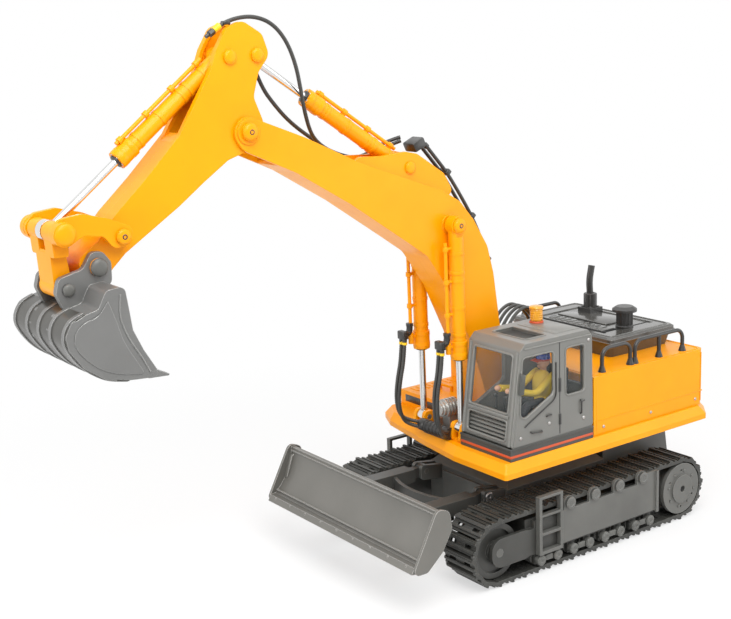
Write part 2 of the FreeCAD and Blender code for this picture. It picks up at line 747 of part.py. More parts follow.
beacon_at = (17.0, 41.5)


def beacon():
    x, y = beacon_at
    base = rod_z(x, y, cab_roof, cab_roof + 2, 5.2)
    lens = rod_z(x, y, cab_roof + 2, cab_roof + 12, 4.6)
    return fuse([base, lens, Part.makeCone(5.2, 4.0, 2, vec(x, y, cab_roof + 11), vec(0, 0, 1))])


lever_at = (64.0, (49.5, 60.5))
lever_top = 125.5


def seat():
    """Seat with a back, two side consoles, the dashboard and its two levers, on one floor plate."""
    base = box(16, 38, 44, 66, cab_sill, 112)
    back = side_slab([(10, 110), (17, 110), (14, 138), (8, 138)], 45, 65, 2)
    floor = box(20, 67, 36, 74, cab_sill, cab_sill + 1.4)
    dash = box(60, 67.5, 43, 67, cab_sill, 112)
    pieces = [base, back, floor, dash]
    for y0, y1 in ((37, 42.5), (67.5, 73)):
        pieces.append(box(20, 46, y0, y1, cab_sill, 117))
    x, places = lever_at
    for y in places:
        pieces += [rod_z(x, y, 111, lever_top, 1.0), Part.makeSphere(1.8, vec(x, y, lever_top))]
    return fuse(pieces)


def limb(start, end, r):
    a, b = vec(*start), vec(*end)
    ends = [Part.makeSphere(r, a), Part.makeSphere(r, b)]
    return fuse([Part.makeCylinder(r, (b - a).Length, a, b - a)] + ends)


def driver():
    """Seated figure: body, legs, arms, head and cap as one plain solid."""
    torso = side_slab([(18.2, 112.3), (31, 112.3), (30, 136), (17.6, 138)], 47.5, 62.5, 3)
    head = Part.makeSphere(6.0, vec(22, 55, 148))
    cap = side_slab([(15.5, 150), (32.5, 150.5), (27, 156), (18, 156)], 50, 60, 2)
    neck = rod_z(22.5, 55, 136, 144, 2.6)
    pieces = [torso, head, cap, neck]
    x, places = lever_at
    for side, y in ((-1, places[0]), (1, places[1])):
        shoulder = (24.0, 55 + side * 8.0, 133.5)
        elbow = (39.0, 55 + side * 9.8, 124.0)
        hand = (x - 1.0, y, lever_top + 4.4)
        pieces += [limb(shoulder, elbow, 2.6), limb(elbow, hand, 2.2)]
        hip = (25.0, 55 + side * 4.4, 115.2)
        knee = (46.0, 55 + side * 5.4, 116.0)
        foot = (49.0, 55 + side * 5.4, 100.6)
        pieces += [limb(hip, knee, 2.9), limb(knee, foot, 2.4)]
    return fuse(pieces)


def boom_bracket():
    """Cheeks for the boom's foot, and the lugs that carry the feet of the boom cylinders."""
    fx, fz = foot_pin
    inner = boom_half + piece_gap
    pieces = [box(2, 60, -inner - 3.2, inner + 3.2, deck_top, deck_top + 2.5)]
    for s in (-1, 1):
        a, b = sorted((s * inner, s * (inner + 3.2)))
        pieces.append(side_slab([(4, deck_top), (56, deck_top), (54, deck_top + 4), (fx + 10, fz + 10),
                                 (fx - 8, fz + 11), (6, deck_top + 6)], a, b, 5))
        lx, lz = boom_cyl_foot
        for y0, y1 in ((boom_cyl_y - 6.5, boom_cyl_y - 3.3), (boom_cyl_y + 3.3, boom_cyl_y + 6.3)):
            a, b = sorted((s * y0, s * y1))
            pieces.append(side_slab([(lx - 7, deck_top), (lx + 7, deck_top), (lx + 4, lz + 4.5),
                                     (lx - 4, lz + 4.5)], a, b, 3))
        a, b = sorted((s * (boom_cyl_y - 6.5), s * (boom_cyl_y + 6.3)))
        pieces.append(box(50, lx + 5, a, b, deck_top, deck_top + 2))
    shape = fuse(pieces)
    bores = [rod_y(fx, fz, -30, 30, foot_pin_r)]
    bores.append(rod_y(boom_cyl_foot[0], boom_cyl_foot[1], -40, 40, small_pin_r))
    return shape.cut(group(bores))


def house_pins():
    fx, fz = foot_pin
    reach = boom_half + piece_gap + 3.2
    pins = [fuse([rod_y(fx, fz, -reach, reach, foot_pin_r),
                  rod_y(fx, fz, reach, reach + 1.6, 5.5), rod_y(fx, fz, -reach - 1.6, -reach, 5.5)])]
    for s in (-1, 1):
        a, b = sorted((s * (boom_cyl_y - 6.5), s * (boom_cyl_y + 6.3)))
        pins.append(rod_y(boom_cyl_foot[0], boom_cyl_foot[1], a, b, small_pin_r))
    return pins


motor_at = (2.0, 106.5)


def swing_motor():
    """Ribbed silver motor lying in front of the boom's foot, with a small round tank beside it."""
    y, z = motor_at
    body = rod_x(y, z, 62, 76, 5.6)
    ribs = [rod_x(y, z, x, x + 1.4, 6.8) for x in (63, 66, 69, 72)]
    face = rod_x(y, z, 75, 78, 4.6)
    stand = box(63, 71, y - 4, y + 4, deck_top, z - 2)
    tank = rod_x(-11, 95.5, 60, 70, 3.8)
    tank_foot = box(61, 69, -13, -9, deck_top, 94)
    return fuse([body, face, stand, tank, tank_foot, box(61, 69, -12, y, deck_top, deck_top + 2)] + ribs)


block_x = 80.0
block_ends = (-12.5, 13.5)
block_z = deck_top + 4.9


def hose_block():
    """Rounded junction block on the front edge of the deck, where the boom hoses end."""
    core = rod_y(block_x, block_z, block_ends[0], block_ends[1], 4.2)
    ribs = [rod_y(block_x, block_z, y, y + 1.4, 4.7) for y in (-8, -4, 0, 4, 8)]
    foot = box(block_x - 4, block_x + 2, -11, 12, deck_top, block_z)
    return fuse([core, foot] + ribs)


# ---------------------------------------------------------------- boom

boom_outline = [(235, 332.3), (190.9, 314.6), (148.9, 294.5), (105, 278), (80, 269), (63.9, 259.5),
                (51.6, 245),
                (39.1, 224.5), (33.6, 203.6), (28.5, 166.2), (22, 130), (17.5, 108), (20, 96), (29, 92.5),
                (38, 97), (46, 125), (58, 160), (76, 198), (94.2, 224.4), (111.1, 236.2), (157.6, 268),
                (198.5, 292.6), (236.5, 310), (243.5, 321)]
hump_outline = [(152, 294), (145, 297.5), (127.5, 296.5), (107.2, 297.7), (97.7, 295.5), (89.1, 289.8),
                (74.5, 279.9), (64, 262), (100, 268)]


def inset_face(points, radius, amount):
    """The face inside an outline, moved inwards by an amount."""
    wire = closed_wire([vec(x, 0, z) for x, z in points], radius)
    return Part.Face(wire).makeOffset2D(-amount)


def boom_shell(side):
    """One half of the boom: a side plate with its rim, the stick-cylinder lug and the pin bosses."""
    outer = side_slab(boom_outline, 0, boom_half, 14)
    pocket = inset_face(boom_outline, 14, boom_wall)
    pocket.translate(vec(0, -1, 0))
    pocket = pocket.extrude(vec(0, boom_half - boom_wall + 1, 0))
    slot = side_slab([(206, 335), (250, 340), (250, 300), (212, 290)], -1, stick_half + piece_gap)
    lug = side_slab(hump_outline, 7.4, 10.6, 6)
    boss = rod_y(boom_cyl_top[0], boom_cyl_top[1], boom_half - 1, boom_half + 0.8, 6.4)
    nose = rod_y(nose_pin[0], nose_pin[1], boom_half - 1, boom_half + 1.0, 8.0)
    web = [rod_y(foot_pin[0], foot_pin[1], 0, boom_half, 8.5)]
    web.append(rod_y(boom_cyl_top[0], boom_cyl_top[1], 0, boom_half, 5.2))
    for x, z in ((150, 279), (96, 245), (48, 205), (44, 150)):
        web.append(rod_y(x, z, 0, boom_half - 1, 3))
    half = fuse([outer.cut(pocket.fuse(slot)), lug, boss, nose] + web)
    bores = [rod_y(foot_pin[0], foot_pin[1], -1, 30, foot_pin_r + running_fit),
             rod_y(boom_cyl_top[0], boom_cyl_top[1], -1, 30, cyl_pin_r),
             rod_y(nose_pin[0], nose_pin[1], -1, 30, pin_r),
             rod_y(stick_cyl_hump[0], stick_cyl_hump[1], -1, 13, cyl_pin_r)]
    half = half.cut(group(bores))
    return half if side > 0 else mirrored(half)


def boom_pins():
    """Nose pin, stick-cylinder pin and the long pin of the two boom cylinders, with their heads."""
    reach = boom_half + 1.0
    nose = [rod_y(nose_pin[0], nose_pin[1], -reach, reach, pin_r)]
    top = [rod_y(boom_cyl_top[0], boom_cyl_top[1], -boom_cyl_y - 4.4, boom_cyl_y + 4.4, cyl_pin_r)]
    for s in (-1, 1):
        a, b = sorted((s * reach, s * (reach + 2.2)))
        nose.append(rod_y(nose_pin[0], nose_pin[1], a, b, 5.6))
        a, b = sorted((s * (boom_cyl_y + 4.0), s * (boom_cyl_y + 5.6)))
        top.append(rod_y(boom_cyl_top[0], boom_cyl_top[1], a, b, 5.4))
    hump = rod_y(stick_cyl_hump[0], stick_cyl_hump[1], -10.6, 10.6, cyl_pin_r)
    caps = [rod_y(stick_cyl_hump[0], stick_cyl_hump[1], a, a + 1.2, 4.2) for a in (-11.8, 10.6)]
    return [fuse(nose), fuse(top), fuse([hump] + caps)]


# ---------------------------------------------------------------- cylinders

def barrel(eye, tip, y, length, eye_hole, eye_r, eye_half, pipe_off):
    """A cylinder barrel: eye, tube, gland collar and the clipped pipe beside it."""
    d = along(eye, tip)
    normal = vec(-d.z, 0, d.x)
    base = vec(eye[0], y, eye[1])
    shoulder = eye_r + 1.6
    tube = Part.makeCylinder(barrel_r, length - shoulder, base + d * shoulder, d)
    neck = Part.makeCylinder(barrel_r, shoulder, base + d * 1, d)
    neck = neck.common(rod_y(eye[0], eye[1], y - eye_half, y + eye_half, eye_r + 4))
    collar = Part.makeCylinder(collar_r, collar_length, base + d * (length - collar_length), d)
    knuckle = rod_y(eye[0], eye[1], y - eye_half, y + eye_half, eye_r)
    start = eye_r + 5
    pipe = Part.makeCylinder(1.3, length - start - 6, base + normal * pipe_off + d * start, d)
    clips = []
    span = length - start - 14
    for i in range(4):
        at = base + d * (start + 3 + i * span / 3)
        clip = Part.makeCylinder(2.1, 3, at + normal * pipe_off, d)
        strut = Part.makeCylinder(1.1, pipe_off, at + d * 1.5, normal)
        clips += [clip, strut]
    outside = fuse([tube, neck, collar, knuckle, pipe] + clips)
    inner = barrel_r - barrel_wall
    bore = Part.makeCylinder(inner, length - eye_r - 8, base + d * (eye_r + 2), d)
    gland = Part.makeCylinder(rod_r + running_fit, 20, base + d * (length - 12), d)
    hole = rod_y(eye[0], eye[1], y - eye_half - 1, y + eye_half + 1, eye_hole)
    return outside.cut(group([bore, gland])).cut(hole)


def rod(eye, far_eye, y, length, eye_hole, eye_r, eye_half):
    """A chrome rod: its eye, its shaft and the piston inside the barrel."""
    d = along(eye, far_eye)
    base = vec(eye[0], y, eye[1])
    shaft = Part.makeCylinder(rod_r, length - eye_r + 1, base + d * (eye_r - 1), d)
    piston = Part.makeCylinder(barrel_r - barrel_wall - running_fit, 5, base + d * (length - 5), d)
    knuckle = rod_y(eye[0], eye[1], y - eye_half, y + eye_half, eye_r)
    hole = rod_y(eye[0], eye[1], y - eye_half - 1, y + eye_half + 1, eye_hole)
    return fuse([shaft, piston, knuckle]).cut(hole)


def span(a, b):
    return math.hypot(b[0] - a[0], b[1] - a[1])


def boom_barrel(side):
    """Barrel of a boom cylinder, with the elbow that its pair of hoses hangs from."""
    y = side * boom_cyl_y
    hole = cyl_pin_r + boom_drift
    tube = barrel(boom_cyl_top, boom_cyl_foot, y, boom_barrel_length, hole, 6.4, 3.9, boom_pipe)
    x, z = elbow_at
    arm = rod_x(y, z, boom_cyl_top[0] + boom_pipe - 0.5, x, 2.0)
    riser = rod_z(boom_cyl_top[0] + boom_pipe - 0.8, y, z - 8, z, 2.0)
    head = box(x - 1.8, x + 1.8, y - 3.6, y + 3.6, z - 3.0, z + 2.6)
    return fuse([tube, riser, arm, head])


def boom_rod(side):
    length = span(boom_cyl_foot, boom_cyl_top) - 42
    return rod(boom_cyl_foot, boom_cyl_top, side * boom_cyl_y, length, small_pin_r + running_fit, 4.3, 3.0)


def stick_barrel():
    hole = cyl_pin_r + running_fit
    return barrel(stick_cyl_hump, stick_cyl_head, 0, stick_barrel_length, hole, 6.2, 6.6, arm_pipe)


def stick_rod():
    length = span(stick_cyl_head, stick_cyl_hump) - 32
    return rod(stick_cyl_head, stick_cyl_hump, 0, length, cyl_pin_r + stick_drift, 8.4, 5.6)


def bucket_barrel():
    hole = cyl_pin_r + running_fit
    return barrel(bucket_cyl_head, rocker_tip, 0, bucket_barrel_length, hole, 6.0, 6.2, arm_pipe)


def bucket_rod():
    length = span(rocker_tip, bucket_cyl_head) - 32
    return rod(rocker_tip, bucket_cyl_head, 0, length, cyl_pin_r + bucket_drift, 6.4, 3.6)


# ---------------------------------------------------------------- stick

stick_outline = [(230.7, 388.5), (241.5, 384.5), (249.5, 372), (255.1, 358), (265.8, 341.7), (278, 322.8),
                 (302.9, 298.7), (324, 280), (336, 266), (348.5, 258), (348.5, 245), (334, 243.5),
                 (319.4, 256.8), (281.4, 280.7), (264.3, 292.9), (246, 305), (233, 309), (221.5, 315),
                 (219.5, 327), (225.5, 342),
                 (221.0, 357), (212.5, 367.0), (217, 380)]


def stick_shell(side):
    """One half of the stick: a side plate with its rim, open at the head for the two cylinders."""
    outer = side_slab(stick_outline, 0, stick_half, 7)
    pocket = inset_face(stick_outline, 7, stick_wall)
    pocket.translate(vec(0, -1, 0))
    pocket = pocket.extrude(vec(0, stick_half - stick_wall + 1, 0))
    slot = side_slab([(200, 340), (229, 342), (238, 352), (258, 334), (290, 314), (290, 345), (262, 395),
                      (200, 395)], -1, 7.6)
    web = []
    for (x, z), r in ((nose_pin, 7.0), (bucket_pin, 7.0), (rocker_foot, 6.0)):
        web.append(rod_y(x, z, 0, stick_half, r))
    heads = [rod_y(x, z, 7.6, stick_half, 5.4) for x, z in (stick_cyl_head, bucket_cyl_head)]
    rocker_boss = rod_y(rocker_foot[0], rocker_foot[1], stick_half - 1, rocker_half[0] - piece_gap, 5.6)
    half = fuse([outer.cut(pocket.fuse(slot))] + web + heads + [rocker_boss])
    bores = [rod_y(nose_pin[0], nose_pin[1], -1, 30, pin_r + running_fit),
             rod_y(bucket_pin[0], bucket_pin[1], -1, 30, pin_r),
             rod_y(rocker_foot[0], rocker_foot[1], -1, 30, cyl_pin_r)]
    bores += [rod_y(x, z, -1, 30, cyl_pin_r) for x, z in (stick_cyl_head, bucket_cyl_head)]
    half = half.cut(group(bores))
    return half if side > 0 else mirrored(half)


def stick_pins():
    """Pins held by the stick, each with a head at both ends."""
    pins = []
    for (x, z), r, reach, head_r in ((stick_cyl_head, cyl_pin_r, stick_half, 4.4),
                                     (bucket_cyl_head, cyl_pin_r, stick_half, 4.4),
                                     (rocker_foot, cyl_pin_r, rocker_half[1] + piece_gap, 4.6),
                                     (bucket_pin, pin_r, ear_half[1] + piece_gap, 5.4)):
        heads = [rod_y(x, z, a, a + 1.6, head_r) for a in (-reach - 1.6, reach)]
        pins.append(fuse([rod_y(x, z, -reach, reach, r)] + heads))
    return pins


def rocker_arms():
    """Two arched arms, the pin between their tips and the round end caps."""
    pieces = []
    for s in (-1, 1):
        a, b = sorted((s * rocker_half[0], s * rocker_half[1]))
        arm = side_slab([(rocker_foot[0] - 6, rocker_foot[1] - 5), (rocker_foot[0] - 6.5, rocker_foot[1] + 5),
                         (332, 280), (348, 284.5), (362, 283), (368.5, 276), (366, 268), (357, 267),
                         (348, 272), (336, 270), (330, 262)], a, b, 5)
        arm = arm.cut(rod_y(rocker_foot[0], rocker_foot[1], a - 1, b + 1, cyl_pin_r + running_fit))
        a, b = sorted((s * (rocker_half[1] - 0.5), s * (rocker_half[1] + 4.6)))
        pieces += [arm, rod_y(rocker_tip[0], rocker_tip[1], a, b, 7.0)]
    pin = rod_y(rocker_tip[0], rocker_tip[1], -rocker_half[0] - 1, rocker_half[0] + 1, cyl_pin_r)
    return fuse([pin] + pieces)


def bucket_link():
    """Tapered link: two eyes on the rocker pin, one wide eye on the bucket pin."""
    px, pz = rocker_tip
    qx, qz = link_pin
    pieces = []
    for s in (-1, 1):
        a, b = sorted((s * 4.6, s * (rocker_half[0] - 0.8)))
        pieces.append(rod_y(px, pz, a, b, 6.2))
        prong = [(px - 5.2, pz), (px + 5.2, pz), (px + 4.2, pz - 14), (px - 4.6, pz - 14)]
        pieces.append(side_slab(prong, a, b, 1))
    tongue = [(px - 4.8, pz - 11), (px + 4.4, pz - 11), (qx + 5.6, qz), (qx - 5.6, qz)]
    pieces += [side_slab(tongue, -10.6, 10.6, 1), rod_y(qx, qz, -10.6, 10.6, 6.4)]
    pieces.append(box(px - 4.6, px + 4.2, -15.6, 15.6, pz - 14, pz - 10.5))
    link = fuse(pieces)
    return link.cut(group([rod_y(px, pz, -30, 30, cyl_pin_r + running_fit),
                           rod_y(qx, qz, -30, 30, cyl_pin_r + link_drift)]))


bucket_back = [(334.5, 243.5), (346, 242.5), (351.5, 232.5), (359.4, 230.6), (367.5, 226.8), (371.6, 219.5),
               (370.3, 211.7), (362.2, 200.3), (349.9, 191.6), (335.9, 188), (317, 186.6)]
bucket_mouth = [(318.8, 192.5), (325.7, 204.4), (331.4, 217.2), (333.1, 232)]


def bucket():
    """Scoop open towards the machine, with ears, wear ribs and five teeth."""
    outline = bucket_back + bucket_mouth
    outer = side_slab(outline, -bucket_half, bucket_half, 4)
    inner_face = inset_face(outline, 4, bucket_wall)
    opening = side_slab([(300, 190.5), (326, 192), (338, 214), (340, 236), (331, 238), (300, 238)],
                        -bucket_half + bucket_wall, bucket_half - bucket_wall)
    inner_face.translate(vec(0, -bucket_half + bucket_wall, 0))
    cavity = inner_face.extrude(vec(0, 2 * (bucket_half - bucket_wall), 0)).fuse(opening)
    ribs = []
    wide = Part.Face(closed_wire([vec(x, 0, z) for x, z in outline], 4)).makeOffset2D(0.8)
    keep = box(344, 380, -bucket_half, bucket_half, 180, 228)
    for y in (-bucket_half + 0.0, -14.5, 11.5, bucket_half - 3.0):
        rib = wide.copy()
        rib.translate(vec(0, y, 0))
        ribs.append(rib.extrude(vec(0, 3, 0)).common(keep))
    ears = []
    for s in (-1, 1):
        a, b = sorted((s * ear_half[0], s * ear_half[1]))
        ears.append(side_slab([(331.5, 240), (331, 254), (336, 261), (343, 261), (349, 252), (364, 248.5),
                               (366.5, 240), (362, 229), (350, 229), (344, 240)], a, b, 4.5))
    teeth = []
    for i in range(5):
        y = -bucket_half + 4 + i * (2 * bucket_half - 15) / 4
        tooth = [(308.3, 185.8), (309, 184.9), (322, 185.6), (324, 191), (317, 190.2)]
        teeth.append(side_slab(tooth, y, y + 7))
    px, pz = bucket_pin
    saddle = outer.common(rod_y(px, pz, -saddle_half, saddle_half, saddle_r + bucket_wall))
    shape = fuse([outer] + ribs + ears)
    shape = fuse([shape.cut(cavity), saddle] + teeth)
    notch = rod_y(px, pz, -ear_half[0], ear_half[0], saddle_r)
    shape = shape.cut(notch)
    crank = rod_y(link_pin[0], link_pin[1], -ear_half[1] - 1.2, ear_half[1] + 1.2, cyl_pin_r)
    shape = shape.cut(rod_y(bucket_pin[0], bucket_pin[1], -30, 30, pin_r + running_fit))
    return fuse([shape, crank])


# ---------------------------------------------------------------- hoses

def boom_cylinder_hoses(side):
    """A pair from the elbow on a boom cylinder down to the junction block."""
    y = side * boom_cyl_y
    end_y = block_ends[side > 0]
    hoses = []
    for k, shift in ((0, -1.9), (1, 1.9)):
        points = [(elbow_at[0], y + shift, elbow_at[1] - 3.2), (91.5, y + shift, 143.0),
                  (95.5, y + shift, 128.0),
                  (97.0, y * 1.04 + shift * 0.9, 113.5), (95.0, y * 1.05 + shift * 0.6, 101.5),
                  (88.5 + 1.5 * k, y + shift * 0.4, block_z + 3.2 - 2.6 * k),
                  (block_x + 1.8 * k, end_y + side * 1.3, block_z + 1.6 - 3.2 * k)]
        hoses.append(hose("boom_cylinder_hose", points, hose_r))
    return hoses


def stick_hoses():
    """Two hoses from the head of the stick over to the hump of the boom."""
    first = hose("stick_hose_outer", [(253.0, 6.0, 379.5), (243.5, 6.0, 386.0), (232.0, 6.0, 390.1),
                                      (218.5, 6.0, 390.9), (205.6, 6.0, 386.3), (195.8, 6.0, 375.5),
                                      (189.6, 6.0, 360.4), (186.8, 6.0, 345.0), (184.0, 5.0, 330.0),
                                      (177.5, 1.0, 315.5), (167.0, -6.0, 307.5), (155.0, -11.5, 301.5),
                                      (142.0, -13.2, 296.5), (128.0, -13.4, 293.5), (116.0, -13.4, 295.0),
                                      (107.0, -12.4, 300.0), (98.4, -6.0, 303.6)], thin_hose_r)
    second = hose("stick_hose_inner", [(211.6, -6.5, 355.8), (207.6, -6.5, 346.0), (200.5, -6.5, 336.5),
                                       (191.5, -6.5, 326.3), (180.5, -7.5, 317.5), (167.0, -9.5, 309.0),
                                       (154.0, -14.4, 300.6), (140.0, -16.4, 295.4), (127.0, -16.6, 294.0),
                                       (116.0, -16.4, 297.5), (106.5, -14.0, 303.0), (97.6, -7.6, 306.0)],
                  thin_hose_r)
    return [first, second]


def boom_hoses():
    """Hump block, the pair down the boom's back to a manifold, and the four looped over to the cover."""
    block = box(84.0, 97.0, -6.6, 6.6, 296.4, 305.9)
    manifold = side_slab([(25.1, 148), (17.0, 148), (19.0, 160), (27.3, 160)], -11, 11, 1.5)
    hoses = []
    for y in (-3.4, 3.4):
        points = [(84.0, y, 299.5), (76.0, y, 290.5), (65.5, y, 278.5), (54.5, y, 262.5), (43.5, y, 245.0),
                  (34.0, y, 225.5), (27.5, y, 203.0), (24.0, y, 181.0), (22.8, y, 160.4)]
        hoses.append(hose("boom_hose", points, thin_hose_r))
    for y, (x, end_y) in zip((-8.4, -2.8, 2.8, 8.4), hose_sockets):
        points = [(17.6, y, 155.0), (11.0, y - 1.5, 162.0), (1.0, y - 4.5, 167.6), (-11.0, y - 8.5, 169.0),
                  (-22.5, y - 12.0, 164.6), (-32.5, end_y + 2.2, 156.5), (x, end_y, 146.0),
                  (x, end_y, cover_top + socket_rise + 0.1)]
        hoses.append(hose("loop_hose", points, thin_hose_r))
    return [block, manifold] + hoses


# ---------------------------------------------------------------- the whole machine

def both(shapes):
    return shapes + [mirrored(s) for s in shapes]


def build():
    """Every node by name, each a solid or a group of separate solids."""
    left = {"track_frame": track_frame(), "track_belt": track_belt(), "side_panel": side_panel(),
            "sprocket": sprocket(), "idler": idler()}
    nodes = {}
    for name, shape in left.items():
        nodes[name + "_left"] = shape
        nodes[name + "_right"] = mirrored(shape)
    nodes["lower_rollers"] = group(both(lower_rollers()))
    nodes["track_gearboxes"] = group(both(track_gearbox()))
    nodes["undercarriage_pins"] = group(undercarriage_pins())
    nodes["chassis_frame"] = chassis_frame()
    nodes["battery_box"] = battery_box()
    nodes["battery_pack"] = group(battery_pack())
    nodes["slew_ring_gear"] = slew_ring_gear()
    nodes["slew_pinion"] = slew_pinion()
    nodes["blade"] = blade()
    nodes["blade_arms"] = blade_arms()
    nodes["deck"] = deck()
    nodes["turntable"] = group(turntable())
    nodes["slew_motor"] = slew_motor()
    nodes["circuit_board"] = circuit_board()
    nodes["engine_cover"] = engine_cover()
    nodes["engine_hood"] = engine_hood()
    nodes["exhaust_stack"] = exhaust_stack()
    nodes["air_filter"] = air_filter()
    nodes["handrails"] = group(handrails())
    nodes["cab_base"] = cab_base()
    nodes["cab_shell"] = cab_shell()
    nodes["cab_glazing"] = group(cab_glazing())
    nodes["beacon"] = beacon()
    nodes["seat"] = seat()
    nodes["driver"] = driver()
    nodes["boom_bracket"] = boom_bracket()
    nodes["house_pins"] = group(house_pins())
    nodes["swing_motor"] = swing_motor()
    nodes["hose_block"] = hose_block()
    nodes["boom_pins"] = group(boom_pins())
    for side, word in ((1, "left"), (-1, "right")):
        nodes["boom_shell_" + word] = boom_shell(side)
        nodes["boom_barrel_" + word] = boom_barrel(side)
        nodes["boom_rod_" + word] = boom_rod(side)
        nodes["stick_shell_" + word] = stick_shell(side)
        nodes["boom_cylinder_hoses_" + word] = group(boom_cylinder_hoses(side))
    nodes["stick_barrel"] = stick_barrel()
    nodes["stick_rod"] = stick_rod()
    nodes["bucket_barrel"] = bucket_barrel()
    nodes["bucket_rod"] = bucket_rod()
    nodes["stick_pins"] = group(stick_pins())
    nodes["rocker_arms"] = rocker_arms()
    nodes["bucket_link"] = bucket_link()
    nodes["bucket"] = bucket()
    nodes["stick_hoses"] = group(stick_hoses())
    nodes["boom_hoses"] = group(boom_hoses())
    return nodes


def middle_shift(nodes):
    """The move that puts the middle of the whole machine's box over the origin."""
    boxes = [shape.optimalBoundingBox() for shape in nodes.values()]
    x = (min(b.XMin for b in boxes) + max(b.XMax for b in boxes)) / 2
    y = (min(b.YMin for b in boxes) + max(b.YMax for b in boxes)) / 2
    return vec(-x, -y, -min(b.ZMin for b in boxes))


nodes = build()
shift = middle_shift(nodes)
os.makedirs("parts", exist_ok=True)
for name, shape in nodes.items():
    placed = shape.copy()
    placed.translate(shift)
    placed.exportStep("parts/" + name + ".step")
print(len(nodes), "nodes; the slewing axis is at", [round(v, 3) for v in shift])
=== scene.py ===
import bmesh
import bpy
import json
import math
from mathutils import Matrix, Vector


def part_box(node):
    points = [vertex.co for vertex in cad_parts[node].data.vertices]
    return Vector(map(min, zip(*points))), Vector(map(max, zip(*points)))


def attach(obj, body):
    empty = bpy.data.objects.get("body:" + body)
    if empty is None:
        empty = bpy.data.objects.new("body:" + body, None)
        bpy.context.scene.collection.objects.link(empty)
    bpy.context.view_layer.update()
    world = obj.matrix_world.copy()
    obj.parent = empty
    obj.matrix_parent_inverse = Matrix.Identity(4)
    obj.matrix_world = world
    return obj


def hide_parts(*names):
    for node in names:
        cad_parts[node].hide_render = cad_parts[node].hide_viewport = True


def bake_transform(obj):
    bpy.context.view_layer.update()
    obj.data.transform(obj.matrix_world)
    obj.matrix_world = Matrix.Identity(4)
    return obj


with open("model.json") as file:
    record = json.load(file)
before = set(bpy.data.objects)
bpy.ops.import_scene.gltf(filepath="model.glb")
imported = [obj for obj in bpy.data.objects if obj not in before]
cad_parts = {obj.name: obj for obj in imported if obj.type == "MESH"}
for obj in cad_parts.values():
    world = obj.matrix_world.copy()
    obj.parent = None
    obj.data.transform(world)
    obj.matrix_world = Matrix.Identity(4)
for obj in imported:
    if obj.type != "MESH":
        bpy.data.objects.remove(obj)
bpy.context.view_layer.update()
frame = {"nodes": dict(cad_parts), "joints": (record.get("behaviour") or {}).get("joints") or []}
mm = 0.001
slewX = next(j["pos_m"][0] for j in frame["joints"] if j["name"] == "slew")
collection = bpy.context.scene.collection
print("frame loaded:", len(frame["nodes"]), "nodes")


def at(x, y, z):
    # millimetres from the slewing axis on the ground, turned into the frame's metres
    return Vector((x * mm + slewX, y * mm, z * mm))


# camera, light and floor
cameraPlan = {"place": (635.0, 696.9, 384.8), "azimuth": 54.53, "elevation": 12.75, "roll": 2.256,
              "lens": 62.594, "sensor": 36.0, "near": 0.01, "far": 50}


def makeCamera(plan):
    azimuth, elevation = math.radians(plan["azimuth"]), math.radians(plan["elevation"])
    back = Vector((math.cos(azimuth) * math.cos(elevation), math.sin(azimuth) * math.cos(elevation),
                   math.sin(elevation)))
    side = (-back).cross(Vector((0, 0, 1))).normalized()
    up = side.cross(-back)
    roll = math.radians(plan["roll"])
    turnedSide = side * math.cos(roll) - up * math.sin(roll)
    turnedUp = up * math.cos(roll) + side * math.sin(roll)
    data = bpy.data.cameras.new("studioCamera")
    data.lens = plan["lens"]
    data.sensor_width = plan["sensor"]
    data.clip_start = plan["near"]
    data.clip_end = plan["far"]
    camera = bpy.data.objects.new("studioCamera", data)
    collection.objects.link(camera)
    turn = Matrix((turnedSide, turnedUp, back)).transposed().to_4x4()
    camera.matrix_world = Matrix.Translation(at(*plan["place"])) @ turn
    bpy.context.scene.camera = camera


lightPlan = {
    "key": {"place": (380, 560, 900), "size": 0.7, "power": 9.4},
    "front": {"place": (1000, -150, 500), "size": 0.9, "power": 4.6},
    "top": {"place": (-100, -100, 1100), "size": 1.2, "power": 4.8},
    "back": {"place": (-650, 700, 420), "size": 0.8, "power": 3.2},
}
lampTarget = (90, 0, 150)


def makeLights(plan):
    for name, spec in plan.items():
        data = bpy.data.lights.new(name + "Light", "AREA")
        data.shape = "SQUARE"
        data.size = spec["size"]
        data.energy = spec["power"]
        lamp = bpy.data.objects.new(name + "Light", data)
        collection.objects.link(lamp)
        lamp.location = at(*spec["place"])
        lamp.rotation_euler = (at(*lampTarget) - lamp.location).to_track_quat("-Z", "Y").to_euler()


worldPlan = {"colour": (1.0, 1.0, 1.0), "strength": 0.38}


def seenDirectly(nodes, links):
    # 1 for the camera, in a mirror and through glass, 0 for light that lights the object
    path = nodes.new("ShaderNodeLightPath")
    seen, shiny = nodes.new("ShaderNodeMath"), nodes.new("ShaderNodeMath")
    seen.operation = shiny.operation = "MAXIMUM"
    links.new(path.outputs["Is Glossy Ray"], shiny.inputs[0])
    links.new(path.outputs["Is Transmission Ray"], shiny.inputs[1])
    links.new(path.outputs["Is Camera Ray"], seen.inputs[0])
    links.new(shiny.outputs[0], seen.inputs[1])
    return seen.outputs[0]


def makeWorld(plan):
    world = bpy.data.worlds.new("studioWorld")
    world.use_nodes = True
    nodes, links = world.node_tree.nodes, world.node_tree.links
    background = nodes["Background"]
    background.inputs["Color"].default_value = plan["colour"] + (1,)
    strength = nodes.new("ShaderNodeMapRange")
    strength.inputs["To Min"].default_value = plan["strength"]
    strength.inputs["To Max"].default_value = 1.0
    links.new(seenDirectly(nodes, links), strength.inputs["Value"])
    links.new(strength.outputs["Result"], background.inputs["Strength"])
    bpy.context.scene.world = world


floorPlan = {"size": 6.0, "colour": (0.86, 0.86, 0.86), "glow": 0.6, "fadeFrom": 0.2, "fadeTo": 0.6}


